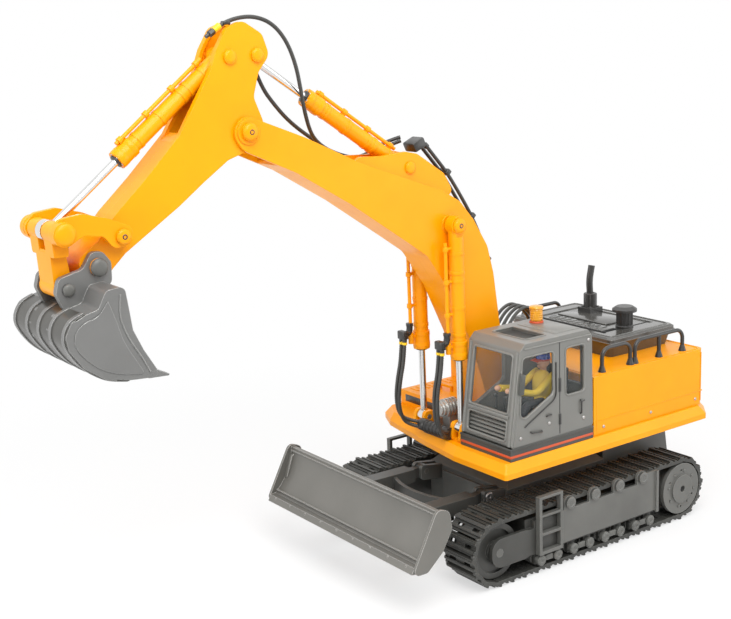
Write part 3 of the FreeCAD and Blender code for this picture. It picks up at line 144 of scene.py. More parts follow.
def makeFloor(plan):
    half = plan["size"] / 2
    mesh = bpy.data.meshes.new("studioFloor")
    corners = [(-half, -half, 0), (half, -half, 0), (half, half, 0), (-half, half, 0)]
    mesh.from_pydata(corners, [], [(0, 1, 2, 3)])
    floor = bpy.data.objects.new("studioFloor", mesh)
    collection.objects.link(floor)
    material = bpy.data.materials.new("floorPaper")
    material.use_nodes = True
    nodes, links = material.node_tree.nodes, material.node_tree.links
    nodes.clear()
    out = nodes.new("ShaderNodeOutputMaterial")
    paper = nodes.new("ShaderNodeBsdfDiffuse")
    paper.inputs["Color"].default_value = plan["colour"] + (1,)
    glow = nodes.new("ShaderNodeEmission")
    glow.inputs["Color"].default_value = (1, 1, 1, 1)
    mix = nodes.new("ShaderNodeMixShader")
    share = nodes.new("ShaderNodeMath")
    share.operation = "MULTIPLY"
    place = nodes.new("ShaderNodeTexCoord")
    distance = nodes.new("ShaderNodeVectorMath")
    distance.operation = "LENGTH"
    fade = nodes.new("ShaderNodeMapRange")        # the paper turns plain white away from the object
    fade.interpolation_type = "SMOOTHSTEP"
    fade.inputs["From Min"].default_value = plan["fadeFrom"]
    fade.inputs["From Max"].default_value = plan["fadeTo"]
    fade.inputs["To Min"].default_value = plan["glow"]
    fade.inputs["To Max"].default_value = 1.0
    links.new(place.outputs["Object"], distance.inputs[0])
    links.new(distance.outputs["Value"], fade.inputs["Value"])
    links.new(fade.outputs["Result"], share.inputs[1])
    links.new(seenDirectly(nodes, links), share.inputs[0])
    links.new(share.outputs[0], mix.inputs["Fac"])
    links.new(paper.outputs[0], mix.inputs[1])
    links.new(glow.outputs[0], mix.inputs[2])
    links.new(mix.outputs[0], out.inputs["Surface"])
    mesh.materials.append(material)


makeCamera(cameraPlan)
makeLights(lightPlan)
makeWorld(worldPlan)
makeFloor(floorPlan)
bpy.context.scene.view_settings.view_transform = "Standard"
print("studio ready")


# colour and its darker tone, gloss, how much the grain and the soft waviness show, and how strongly the edges
# are lightened by a painted highlight
finishes = {
    "yellowPaint": {"colour": (0.93, 0.35, 0.0008), "dark": (0.91, 0.325, 0.0006), "rough": 0.30,
                    "grain": 0.05, "edge": 0.45, "edgeColour": (1.0, 0.47, 0.01), "coat": 0.03,
                    "specular": 0.22, "round": 0.7},
    "cabPlastic": {"colour": (0.175, 0.174, 0.160), "dark": (0.16, 0.159, 0.147), "rough": 0.30,
                   "grain": 0.06, "edge": 0.5, "edgeColour": (0.42, 0.42, 0.39), "coat": 0.1, "round": 0.6},
    "bucketMetal": {"colour": (0.185, 0.185, 0.18), "dark": (0.165, 0.165, 0.16), "rough": 0.33,
                    "metal": 0.35, "grain": 0.08, "edge": 0.7, "edgeColour": (0.55, 0.55, 0.53),
                    "round": 0.6},
    "bucketBand": {"colour": (0.075, 0.073, 0.065), "dark": (0.062, 0.06, 0.054), "rough": 0.3,
                   "metal": 0.3, "grain": 0.08, "edge": 0.7, "edgeColour": (0.5, 0.5, 0.48), "round": 0.4},
    "bladeMetal": {"colour": (0.17, 0.165, 0.15), "dark": (0.15, 0.146, 0.132), "rough": 0.32,
                   "metal": 0.35, "grain": 0.06, "edge": 0.7, "edgeColour": (0.72, 0.71, 0.68),
                   "round": 0.6},
    "trackRubber": {"colour": (0.045, 0.045, 0.040), "dark": (0.026, 0.026, 0.023), "rough": 0.42,
                    "grain": 0.14, "edge": 0.8, "edgeColour": (0.16, 0.16, 0.145), "round": 0.35},
    "panelPlastic": {"colour": (0.125, 0.125, 0.115), "dark": (0.095, 0.095, 0.087), "rough": 0.38,
                     "grain": 0.08, "edge": 0.7, "edgeColour": (0.30, 0.30, 0.28), "round": 0.45},
    "framePlastic": {"colour": (0.055, 0.055, 0.050), "dark": (0.038, 0.038, 0.034), "rough": 0.40,
                     "grain": 0.10, "edge": 0.6, "edgeColour": (0.17, 0.17, 0.155), "round": 0.45},
    "chassisPlastic": {"colour": (0.115, 0.12, 0.112), "dark": (0.08, 0.082, 0.078), "rough": 0.40,
                       "grain": 0.08, "edge": 0.6, "edgeColour": (0.27, 0.27, 0.26), "round": 0.6},
    "blackPlastic": {"colour": (0.026, 0.025, 0.023), "dark": (0.015, 0.015, 0.014), "rough": 0.32,
                     "grain": 0.10, "edge": 0.5, "edgeColour": (0.10, 0.10, 0.095), "coat": 0.15,
                     "round": 0.5},
    "bandPlastic": {"colour": (0.062, 0.064, 0.058), "dark": (0.045, 0.046, 0.042), "rough": 0.34,
                    "grain": 0.06, "edge": 0.5, "edgeColour": (0.16, 0.16, 0.15), "round": 0.4},
    "hoodPlastic": {"colour": (0.075, 0.073, 0.066), "dark": (0.06, 0.058, 0.052), "rough": 0.18,
                    "grain": 0.12, "edge": 0.7, "edgeColour": (0.34, 0.34, 0.32), "coat": 0.5,
                    "round": 0.5},
    "hoseRubber": {"colour": (0.040, 0.040, 0.036), "dark": (0.022, 0.022, 0.020), "rough": 0.36,
                   "grain": 0.12, "edge": 0.0, "edgeColour": (0.1, 0.1, 0.1), "round": 0.0},
    "chromePlate": {"colour": (0.78, 0.78, 0.77), "dark": (0.68, 0.68, 0.67), "rough": 0.13, "metal": 1.0,
                    "grain": 0.02, "edge": 0.0, "edgeColour": (1, 1, 1), "round": 0.3},
    "steelPin": {"colour": (0.50, 0.49, 0.47), "dark": (0.36, 0.35, 0.34), "rough": 0.30, "metal": 0.9,
                 "grain": 0.08, "edge": 0.5, "edgeColour": (0.8, 0.8, 0.8), "round": 0.35},
    "silverPaint": {"colour": (0.52, 0.51, 0.48), "dark": (0.38, 0.37, 0.35), "rough": 0.28, "metal": 0.7,
                    "grain": 0.05, "edge": 0.6, "edgeColour": (0.85, 0.85, 0.82), "round": 0.35},
    "whitePlastic": {"colour": (0.74, 0.72, 0.67), "dark": (0.66, 0.64, 0.60), "rough": 0.35,
                     "grain": 0.04, "edge": 0.2, "edgeColour": (0.9, 0.9, 0.9), "round": 0.3},
    "boardGreen": {"colour": (0.02, 0.20, 0.07), "dark": (0.01, 0.12, 0.04), "rough": 0.35, "grain": 0.05,
                   "edge": 0.2, "edgeColour": (0.1, 0.4, 0.2), "round": 0.2},
    "cellWrap": {"colour": (0.10, 0.10, 0.13), "dark": (0.06, 0.06, 0.09), "rough": 0.25, "metal": 0.3,
                 "grain": 0.03, "edge": 0.2, "edgeColour": (0.4, 0.4, 0.4), "round": 0.2},
    "seatPlastic": {"colour": (0.030, 0.030, 0.028), "dark": (0.018, 0.018, 0.017), "rough": 0.55,
                    "grain": 0.16, "edge": 0.3, "edgeColour": (0.1, 0.1, 0.1), "round": 0.5},
    "vestCloth": {"colour": (0.90, 0.66, 0.05), "dark": (0.80, 0.55, 0.03), "rough": 0.55, "grain": 0.10,
                  "edge": 0.2, "edgeColour": (1.0, 0.85, 0.3), "round": 0.3},
    "trouserCloth": {"colour": (0.045, 0.05, 0.06), "dark": (0.03, 0.032, 0.04), "rough": 0.6,
                     "grain": 0.12, "edge": 0.2, "edgeColour": (0.1, 0.1, 0.12), "round": 0.3},
    "skinPaint": {"colour": (0.74, 0.42, 0.27), "dark": (0.66, 0.36, 0.23), "rough": 0.5, "grain": 0.03,
                  "edge": 0.0, "edgeColour": (1, 1, 1), "round": 0.2},
    "helmetBlue": {"colour": (0.02, 0.07, 0.42), "dark": (0.015, 0.05, 0.32), "rough": 0.25,
                   "grain": 0.02, "edge": 0.2, "edgeColour": (0.2, 0.3, 0.8), "round": 0.2},
    "signalRed": {"colour": (0.62, 0.07, 0.02), "dark": (0.52, 0.05, 0.015), "rough": 0.35, "grain": 0.03,
                  "edge": 0.1, "edgeColour": (0.9, 0.2, 0.1), "round": 0.1},
    "stripeOrange": {"colour": (0.60, 0.085, 0.022), "dark": (0.52, 0.07, 0.018), "rough": 0.38,
                     "grain": 0.04, "edge": 0.1, "edgeColour": (0.8, 0.2, 0.1), "round": 0.1},
    "collarYellow": {"colour": (0.90, 0.60, 0.01), "dark": (0.80, 0.50, 0.01), "rough": 0.35,
                     "grain": 0.03, "edge": 0.3, "edgeColour": (1.0, 0.8, 0.2), "round": 0.3},
    # painted shade: near-black put in holes and gaps in place of the shade inside them
    "paintedGapShade": {"colour": (0.006, 0.006, 0.006), "dark": (0.003, 0.003, 0.003), "rough": 0.7,
                "grain": 0.05, "edge": 0.0, "edgeColour": (0, 0, 0), "round": 0.0},
}
surfacePlan = {
    "cloudScale": 26, "cloudDetail": 5, "grainScale": 1900, "grainDetail": 4, "bumpDepth": 0.0004,
    "toneFrom": 0.38, "toneTo": 0.66, "glossLow": 0.85, "glossHigh": 1.25, "coatRough": 0.12,
    "edgeSamples": 4, "highlightFrom": 0.995, "highlightTo": 0.86,
}
materials = {}


def makeFinish(name):
    if name in materials:
        return materials[name]
    plan = finishes[name] | surfacePlan
    material = bpy.data.materials.new(name)
    material.use_nodes = True
    nodes, links = material.node_tree.nodes, material.node_tree.links
    shader = nodes["Principled BSDF"]
    shader.inputs["Metallic"].default_value = plan.get("metal", 0.0)
    shader.inputs["Coat Weight"].default_value = plan.get("coat", 0.0)
    shader.inputs["Coat Roughness"].default_value = plan["coatRough"]
    shader.inputs["Specular IOR Level"].default_value = plan.get("specular", 0.5)
    place = nodes.new("ShaderNodeTexCoord")
    clouds = nodes.new("ShaderNodeTexNoise")      # slow change of tone across a moulding
    clouds.inputs["Scale"].default_value = plan["cloudScale"]
    clouds.inputs["Detail"].default_value = plan["cloudDetail"]
    links.new(place.outputs["Object"], clouds.inputs["Vector"])
    grain = nodes.new("ShaderNodeTexNoise")       # fine grain of the surface
    grain.inputs["Scale"].default_value = plan["grainScale"]
    grain.inputs["Detail"].default_value = plan["grainDetail"]
    links.new(place.outputs["Object"], grain.inputs["Vector"])
    tone = nodes.new("ShaderNodeMix")
    tone.data_type = "RGBA"
    tone.inputs[6].default_value = plan["colour"] + (1,)
    tone.inputs[7].default_value = plan["dark"] + (1,)
    spread = nodes.new("ShaderNodeMapRange")
    spread.inputs["From Min"].default_value = plan["toneFrom"]
    spread.inputs["From Max"].default_value = plan["toneTo"]
    links.new(clouds.outputs["Fac"], spread.inputs["Value"])
    links.new(spread.outputs["Result"], tone.inputs[0])
    last = tone.outputs[2]
    bump = nodes.new("ShaderNodeBump")
    bump.inputs["Strength"].default_value = plan["grain"]
    bump.inputs["Distance"].default_value = plan["bumpDepth"]
    links.new(grain.outputs["Fac"], bump.inputs["Height"])
    if plan["round"] > 0:
        soft = nodes.new("ShaderNodeBevel")       # rounded edges, lightened by a painted highlight
        soft.samples = plan["edgeSamples"]
        soft.inputs["Radius"].default_value = plan["round"] * mm
        links.new(soft.outputs["Normal"], bump.inputs["Normal"])
        if plan["edge"] > 0:
            # painted highlight: the mask below mixes a lighter colour into every edge
            geometry = nodes.new("ShaderNodeNewGeometry")
            dot = nodes.new("ShaderNodeVectorMath")
            dot.operation = "DOT_PRODUCT"
            links.new(soft.outputs["Normal"], dot.inputs[0])
            links.new(geometry.outputs["Normal"], dot.inputs[1])
            highlightMask = nodes.new("ShaderNodeMapRange")
            highlightMask.inputs["From Min"].default_value = plan["highlightFrom"]
            highlightMask.inputs["From Max"].default_value = plan["highlightTo"]
            highlightMask.inputs["To Max"].default_value = plan["edge"]
            links.new(dot.outputs["Value"], highlightMask.inputs["Value"])
            highlightMix = nodes.new("ShaderNodeMix")
            highlightMix.data_type = "RGBA"
            highlightMix.inputs[7].default_value = plan["edgeColour"] + (1,)
            links.new(highlightMask.outputs["Result"], highlightMix.inputs[0])
            links.new(last, highlightMix.inputs[6])
            last = highlightMix.outputs[2]
    links.new(bump.outputs["Normal"], shader.inputs["Normal"])
    links.new(last, shader.inputs["Base Color"])
    gloss = nodes.new("ShaderNodeMapRange")
    gloss.inputs["To Min"].default_value = plan["rough"] * plan["glossLow"]
    gloss.inputs["To Max"].default_value = plan["rough"] * plan["glossHigh"]
    links.new(clouds.outputs["Fac"], gloss.inputs["Value"])
    links.new(gloss.outputs["Result"], shader.inputs["Roughness"])
    materials[name] = material
    return material


glassPlan = {
    "cabGlass": {"colour": (0.30, 0.33, 0.33), "rough": 0.02, "alpha": 0.07},
    "amberLens": {"colour": (0.92, 0.42, 0.015), "rough": 0.12, "alpha": 0.80},
}
paneSurface = {"coat": 0.6, "coatRough": 0.04, "smearScale": 60, "smear": 0.08}


def makeGlass(name):
    if name in materials:
        return materials[name]
    plan = glassPlan[name] | paneSurface
    material = bpy.data.materials.new(name)
    material.use_nodes = True
    nodes, links = material.node_tree.nodes, material.node_tree.links
    shader = nodes["Principled BSDF"]
    shader.inputs["Base Color"].default_value = plan["colour"] + (1,)
    shader.inputs["Alpha"].default_value = plan["alpha"]
    shader.inputs["Coat Weight"].default_value = plan["coat"]
    shader.inputs["Coat Roughness"].default_value = plan["coatRough"]
    place = nodes.new("ShaderNodeTexCoord")
    smears = nodes.new("ShaderNodeTexNoise")      # faint smears on the pane
    smears.inputs["Scale"].default_value = plan["smearScale"]
    links.new(place.outputs["Object"], smears.inputs["Vector"])
    gloss = nodes.new("ShaderNodeMapRange")
    gloss.inputs["To Min"].default_value = plan["rough"]
    gloss.inputs["To Max"].default_value = plan["rough"] + plan["smear"]
    links.new(smears.outputs["Fac"], gloss.inputs["Value"])
    links.new(gloss.outputs["Result"], shader.inputs["Roughness"])
    materials[name] = material
    return material


nodeFinish = {
    "yellowPaint": ["deck", "engine_cover", "boom_shell_left", "boom_shell_right", "stick_shell_left",
                    "stick_shell_right", "boom_barrel_left", "boom_barrel_right", "stick_barrel",
                    "bucket_barrel", "rocker_arms", "bucket_link", "boom_bracket", "boom_pins",
                    "stick_pins"],
    "cabPlastic": ["cab_shell"],
    "bandPlastic": ["cab_base"],
    "blackPlastic": ["exhaust_stack", "air_filter", "handrails", "hose_block"],
    "hoodPlastic": ["engine_hood"],
    "bucketMetal": ["bucket"],
    "bladeMetal": ["blade"],
    "panelPlastic": ["side_panel_left", "side_panel_right", "lower_rollers", "sprocket_left",
                     "sprocket_right", "undercarriage_pins"],
    "framePlastic": ["track_frame_left", "track_frame_right", "track_gearboxes", "blade_arms",
                     "idler_left", "idler_right"],
    "chassisPlastic": ["chassis_frame", "battery_box", "turntable"],
    "trackRubber": ["track_belt_left", "track_belt_right"],
    "hoseRubber": ["stick_hoses", "boom_hoses", "boom_cylinder_hoses_left", "boom_cylinder_hoses_right"],
    "chromePlate": ["boom_rod_left", "boom_rod_right", "stick_rod", "bucket_rod"],
    "steelPin": ["house_pins", "slew_motor"],
    "silverPaint": ["swing_motor"],
    "whitePlastic": ["slew_ring_gear", "slew_pinion"],
    "boardGreen": ["circuit_board"],
    "cellWrap": ["battery_pack"],
    "seatPlastic": ["seat"],
    "vestCloth": ["driver"],
}


def finishNodes(plan):
    for name, members in plan.items():
        material = makeFinish(name)
        for member in members:
            mesh = frame["nodes"][member].data
            mesh.materials.clear()
            mesh.materials.append(material)
    for name, member in (("cabGlass", "cab_glazing"), ("amberLens", "beacon")):
        mesh = frame["nodes"][member].data
        mesh.materials.clear()
        mesh.materials.append(makeGlass(name))


finishNodes(nodeFinish)
print("finishes ready")


# shape helpers: sizes are in millimetres from the slewing axis
def softenEdges(bm, edges, radius):
    bmesh.ops.bevel(bm, geom=list(edges), offset=radius * mm, segments=2, profile=0.5, affect="EDGES")


def addBox(bm, low, high, soft=0.0, turn=None):
    centre = [(a + b) / 2 for a, b in zip(low, high)]
    place = Matrix.Translation(at(*centre))
    if turn:
        place = place @ Matrix.Rotation(math.radians(turn[1]), 4, turn[0])
    place = place @ Matrix.Diagonal([(b - a) * mm for a, b in zip(low, high)] + [1])
    cube = bmesh.ops.create_cube(bm, size=1.0, matrix=place)
    if soft:
        softenEdges(bm, {e for v in cube["verts"] for e in v.link_edges}, soft)


def addLathe(bm, profile, centre, axis=(0, 1, 0), sides=28, hollow=False):
    # a profile of (radius, distance along the axis) turned about the axis; a hollow one closes on itself
    spin = Vector(axis).normalized().to_track_quat("Z", "Y").to_matrix()
    base = at(*centre)
    rings = []
    for radius, along in profile:
        if radius <= 0:
            rings.append([bm.verts.new(base + spin @ Vector((0, 0, along * mm)))])
            continue
        ring = []
        for i in range(sides):
            turn = 2 * math.pi * i / sides
            spot = Vector((radius * mm * math.cos(turn), radius * mm * math.sin(turn), along * mm))
            ring.append(bm.verts.new(base + spin @ spot))
        rings.append(ring)
    for a, b in zip(rings, rings[1:] + rings[:1] if hollow else rings[1:]):
        for i in range(sides):
            j = (i + 1) % sides
            corners = [a[i % len(a)], a[j % len(a)], b[j % len(b)], b[i % len(b)]]
            corners = list(dict.fromkeys(corners))
            if len(corners) > 2:
                bm.faces.new(corners)
    for ring in () if hollow else (rings[0], rings[-1]):
        if len(ring) > 1:
            bm.faces.new(ring)


def addSlab(bm, outline, low, high, soft=0.0):
    # an outline of x, z points, as thick as low to high along y
    near = [bm.verts.new(at(x, low, z)) for x, z in outline]
    far = [bm.verts.new(at(x, high, z)) for x, z in outline]
    faces = [bm.faces.new(near), bm.faces.new(list(reversed(far)))]
    for i in range(len(outline)):
        j = (i + 1) % len(outline)
        faces.append(bm.faces.new([near[i], far[i], far[j], near[j]]))
    if soft:
        softenEdges(bm, {e for face in faces for e in face.edges}, soft)


def roundedPath(points, radius, closed=False, steps=5):
    # straight runs with their corners rounded; the points are vectors in metres
    count = len(points)
    path = []
    for i, point in enumerate(points):
        if not closed and i in (0, count - 1):
            path.append(point.copy())
            continue
        before, after = points[i - 1], points[(i + 1) % count]
        reach = min(radius * mm, 0.45 * (before - point).length, 0.45 * (after - point).length)
        start = point + (before - point).normalized() * reach
        end = point + (after - point).normalized() * reach
        for k in range(steps + 1):
            t = k / steps
            path.append(start * (1 - t) ** 2 + point * 2 * t * (1 - t) + end * t ** 2)
    return path


def addTube(bm, path, radius, sides=12, closed=False, flat=1.0):
    # a tube along a path in metres; radius is a number or a function of the distance along it
    count = len(path)
    rings = []
    normal = None
    travelled = 0.0
    for i, point in enumerate(path):
        if closed:
            ahead = (path[(i + 1) % count] - path[i - 1]).normalized()
        else:
            ahead = (path[min(i + 1, count - 1)] - path[max(i - 1, 0)]).normalized()
        if normal is None:
            normal = ahead.orthogonal().normalized()
        normal = (normal - ahead * normal.dot(ahead)).normalized()
        other = ahead.cross(normal)
        if i:
            travelled += (point - path[i - 1]).length
        size = radius(travelled / mm) if callable(radius) else radius
        ring = []
        for k in range(sides):
            turn = 2 * math.pi * k / sides
            reach = normal * math.cos(turn) + other * math.sin(turn) * flat
            ring.append(bm.verts.new(point + reach * size * mm))
        rings.append(ring)
    pairs = list(zip(rings, rings[1:]))
    if closed:
        pairs.append((rings[-1], rings[0]))
    for a, b in pairs:
        for k in range(sides):
            j = (k + 1) % sides
            bm.faces.new([a[k], a[j], b[j], b[k]])
    if not closed:
        bm.faces.new(list(reversed(rings[0])))
        bm.faces.new(rings[-1])


def addBall(bm, centre, radii):
    place = Matrix.Translation(at(*centre)) @ Matrix.Diagonal([radius * mm for radius in radii] + [1])
    bmesh.ops.create_uvsphere(bm, u_segments=24, v_segments=14, radius=1.0, matrix=place)


sharpTurn = 32        # degrees past which an edge stays sharp


def finishPiece(name, bm, finish, body, sharp=sharpTurn):
    bmesh.ops.recalc_face_normals(bm, faces=bm.faces)
    mesh = bpy.data.meshes.new(name)
    bm.to_mesh(mesh)
    bm.free()
    mesh.shade_smooth()
    mesh.set_sharp_from_angle(angle=math.radians(sharp))
    material = makeGlass(finish) if finish in glassPlan else makeFinish(finish)
    mesh.materials.append(material)
    piece = bpy.data.objects.new(name, mesh)
    collection.objects.link(piece)
    if body:
        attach(piece, body)
    return piece


sides = (("left", 1), ("right", -1))


# a template set on points by a node tree, for what repeats
def scatterTree(name, template, material):
    tree = bpy.data.node_groups.new(name, "GeometryNodeTree")
    for label, kind, way in (("Places", "NodeSocketGeometry", "INPUT"), ("Scale", "NodeSocketFloat", "INPUT"),
                             ("Pieces", "NodeSocketGeometry", "OUTPUT")):
        tree.interface.new_socket(label, in_out=way, socket_type=kind)
    nodes, links = tree.nodes, tree.links
    start, end = nodes.new("NodeGroupInput"), nodes.new("NodeGroupOutput")
    info = nodes.new("GeometryNodeObjectInfo")
    info.inputs["Object"].default_value = template
    info.inputs["As Instance"].default_value = True
    turn = nodes.new("GeometryNodeInputNamedAttribute")
    turn.data_type = "FLOAT_VECTOR"
    turn.inputs["Name"].default_value = "turn"
    spread = nodes.new("GeometryNodeInstanceOnPoints")
    solid = nodes.new("GeometryNodeRealizeInstances")
    paint = nodes.new("GeometryNodeSetMaterial")
    paint.inputs["Material"].default_value = material
    rotate = nodes.new("FunctionNodeEulerToRotation")
    links.new(start.outputs["Places"], spread.inputs["Points"])
    links.new(info.outputs["Geometry"], spread.inputs["Instance"])
    links.new(turn.outputs["Attribute"], rotate.inputs[0])
    links.new(rotate.outputs[0], spread.inputs["Rotation"])
    links.new(start.outputs["Scale"], spread.inputs["Scale"])
    links.new(spread.outputs[0], solid.inputs[0])
    links.new(solid.outputs[0], paint.inputs["Geometry"])
    links.new(paint.outputs[0], end.inputs["Pieces"])
    return tree


def scatter(name, bm, finish, body, places, scale=1.0, sharp=sharpTurn):
    # bm holds the template about the origin in metres; places are (point, turn about x, y, z)
    bmesh.ops.recalc_face_normals(bm, faces=bm.faces)
    pattern = bpy.data.meshes.new(name + "Pattern")
    bm.to_mesh(pattern)
    bm.free()
    template = bpy.data.objects.new(name + "Pattern", pattern)
    material = makeFinish(finish)
    mesh = bpy.data.meshes.new(name + "Places")
    mesh.from_pydata([tuple(point) for point, turn in places], [], [])
    turns = mesh.attributes.new("turn", "FLOAT_VECTOR", "POINT")
    for i, (point, turn) in enumerate(places):
        turns.data[i].vector = turn
    holder = bpy.data.objects.new(name + "Places", mesh)
    collection.objects.link(holder)
    tree = scatterTree(name + "Tree", template, material)
    modifier = holder.modifiers.new("scatter", "NODES")
    modifier.node_group = tree
    scaleSocket = next(s.identifier for s in tree.interface.items_tree if s.name == "Scale")
    modifier[scaleSocket] = scale
    evaluated = holder.evaluated_get(bpy.context.evaluated_depsgraph_get())
    result = bpy.data.meshes.new_from_object(evaluated)
    result.name = name
    holder.modifiers.clear()
    bpy.data.objects.remove(holder)
    bpy.data.objects.remove(template)
    if "turn" in result.attributes:
        result.attributes.remove(result.attributes["turn"])
    result.shade_smooth()
    result.set_sharp_from_angle(angle=math.radians(sharp))
    piece = bpy.data.objects.new(name, result)
    collection.objects.link(piece)
    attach(piece, body)
    return piece


def screwPattern(radius, height, cross=True):
    # a pan head with a cross recess, pointing along +Z
    bm = bmesh.new()
    r, h = radius, height
    addLathe(bm, [(r, 0), (r, h * 0.5), (r * 0.82, h * 0.9), (r * 0.5, h), (0, h)], (0, 0, 0), (0, 0, 1), 16)
    if cross:
        for size in ((r * 0.62, r * 0.16), (r * 0.16, r * 0.62)):
            addBox(bm, (-size[0], -size[1], h * 0.92), (size[0], size[1], h * 1.02))
    bmesh.ops.translate(bm, vec=-at(0, 0, 0), verts=bm.verts)
    return bm


def facing(side):
    # the turn that points a template's +Z along +Y or -Y
    return (math.radians(-90 if side > 0 else 90), 0, 0)


trackPlan = {"half": 93.0, "axle": 25.5, "inner": 20.6, "pitchLine": 21.8, "count": 44, "middle": 68.0,
             "width": 32.0, "bar": 4.55, "second": 3.7, "web": 2.4, "floor": 0.2, "phase": 0.35,
             "steps": (-5.45, -4.2, -2.6, -1.3, 1.5, 2.2, 3.6, 5.45), "rows": (11.0, 4.4),
             "slots": {(3, 1), (3, 3)}, "knuckle": 2.6, "knuckleAt": (5.75, 1.75)}


def shoePattern(plan):
    # one shoe about the origin: x along the belt, y across it, z outwards from the belt's inside
    bm = bmesh.new()
    half = plan["width"] / 2
    columns, (outerRow, innerRow) = plan["steps"], plan["rows"]
    bar, second, web = plan["bar"], plan["second"], plan["web"]
    heights = [bar - 0.5, bar, web + 0.5, web, second - 0.3, second, web]
    rows = [-half, -outerRow, -innerRow, innerRow, outerRow, half]
    cells = {}                                        # each shoe has two open slots through it
    for i in range(len(columns) - 1):
        for j in range(len(rows) - 1):
            if (i, j) not in plan["slots"]:
                cells[(i, j)] = heights[i]
    floor = plan["floor"] * mm
    for (i, j), top in cells.items():
        x0, x1, y0, y1 = columns[i] * mm, columns[i + 1] * mm, rows[j] * mm, rows[j + 1] * mm
        top *= mm
        for z, flip in ((top, False), (floor, True)):
            ring = [bm.verts.new(p) for p in ((x0, y0, z), (x1, y0, z), (x1, y1, z), (x0, y1, z))]
            bm.faces.new(list(reversed(ring)) if flip else ring)
        walls = (((i - 1, j), (x0, y1), (x0, y0)), ((i + 1, j), (x1, y0), (x1, y1)),
                 ((i, j - 1), (x0, y0), (x1, y0)), ((i, j + 1), (x1, y1), (x0, y1)))
        for other, (ax, ay), (bx, by) in walls:
            low = cells[other] * mm if other in cells else floor
            if low < top:
                corners = ((ax, ay, low), (bx, by, low), (bx, by, top), (ax, ay, top))
                bm.faces.new([bm.verts.new(c) for c in corners])
    bmesh.ops.remove_doubles(bm, verts=bm.verts, dist=1e-6)
    loose = bmesh.new()                               # pin ends at both edges
    knuckleX, knuckleZ = plan["knuckleAt"]
    for end in (-1, 1):
        a, b = sorted((end * (half - plan["knuckle"]), end * half))
        addLathe(loose, [(0, a), (1.5, a), (1.75, a + 0.4), (1.75, b - 0.4), (1.4, b - 0.05), (0, b - 0.05)],
                 (knuckleX, 0, knuckleZ), (0, 1, 0), 10)
    bmesh.ops.translate(loose, vec=-at(0, 0, 0), verts=loose.verts)
    knuckles = bpy.data.meshes.new("knuckles")
    loose.to_mesh(knuckles)
    loose.free()
    bm.from_mesh(knuckles)
    bpy.data.meshes.remove(knuckles)
    return bm


def beltPlaces(plan, y):
    places = []
    straight = 2 * plan["half"]
    bend = math.pi * plan["pitchLine"]
    total = 2 * (straight + bend)
    for i in range(plan["count"]):
        s = total * (i + plan["phase"]) / plan["count"]
        if s < straight:                              # top, running forward
            x, z, tilt = -plan["half"] + s, plan["inner"], 0.0
        elif s < straight + bend:                     # round the idler
            tilt = (s - straight) / plan["pitchLine"]
            x = plan["half"] + plan["inner"] * math.sin(tilt)
            z = plan["inner"] * math.cos(tilt)
        elif s < 2 * straight + bend:                 # ground run
            x, z, tilt = plan["half"] - (s - straight - bend), -plan["inner"], math.pi
        else:                                         # round the sprocket
            turn = (s - 2 * straight - bend) / plan["pitchLine"]
            tilt = math.pi + turn
            x = -plan["half"] + plan["inner"] * math.sin(tilt)
            z = plan["inner"] * math.cos(tilt)
        places.append((at(x, y, plan["axle"] + z), (0, tilt, 0)))
    return places


def makeTracks(plan):
    for word, side in sides:
        belt = scatter("trackShoes_" + word, shoePattern(plan), "trackRubber", "undercarriage",
                       beltPlaces(plan, side * plan["middle"]), sharp=20)
        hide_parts("track_belt_" + word)


makeTracks(trackPlan)
print("tracks ready")


gearPlan = {
    "rollers": 8, "rollerInset": 4.6, "lobeX": (29.0, 4.0, -21.0, -46.0), "lobeZ": 46.6,
    "sprocketFace": 84.0, "sprocketX": -93.0, "bolts": 8, "boltCircle": 14.2, "boltTurn": 12,
    "rollerCap": [(3.5, -1.0), (3.5, 0.2), (2.9, 0.75), (1.5, 0.8), (1.3, 0.45), (0, 0.4)],
    "lobeCap": [(4.4, -0.4), (4.4, 0.25), (3.9, 0.55), (2.5, 0.6), (2.3, 0.3), (0, 0.3)],
    "hub": [(10.6, -0.5), (10.6, 0.5), (10.2, 0.9), (9.4, 0.9), (9.2, 0.3), (7.6, 0.3), (7.4, 1.1),
            (6.9, 1.5), (3.4, 1.5), (3.0, 1.1), (2.7, 0.2), (0, 0.1)],
    "hole": [(2.5, 0.12), (2.5, 0.5), (0, 0.5)],
}


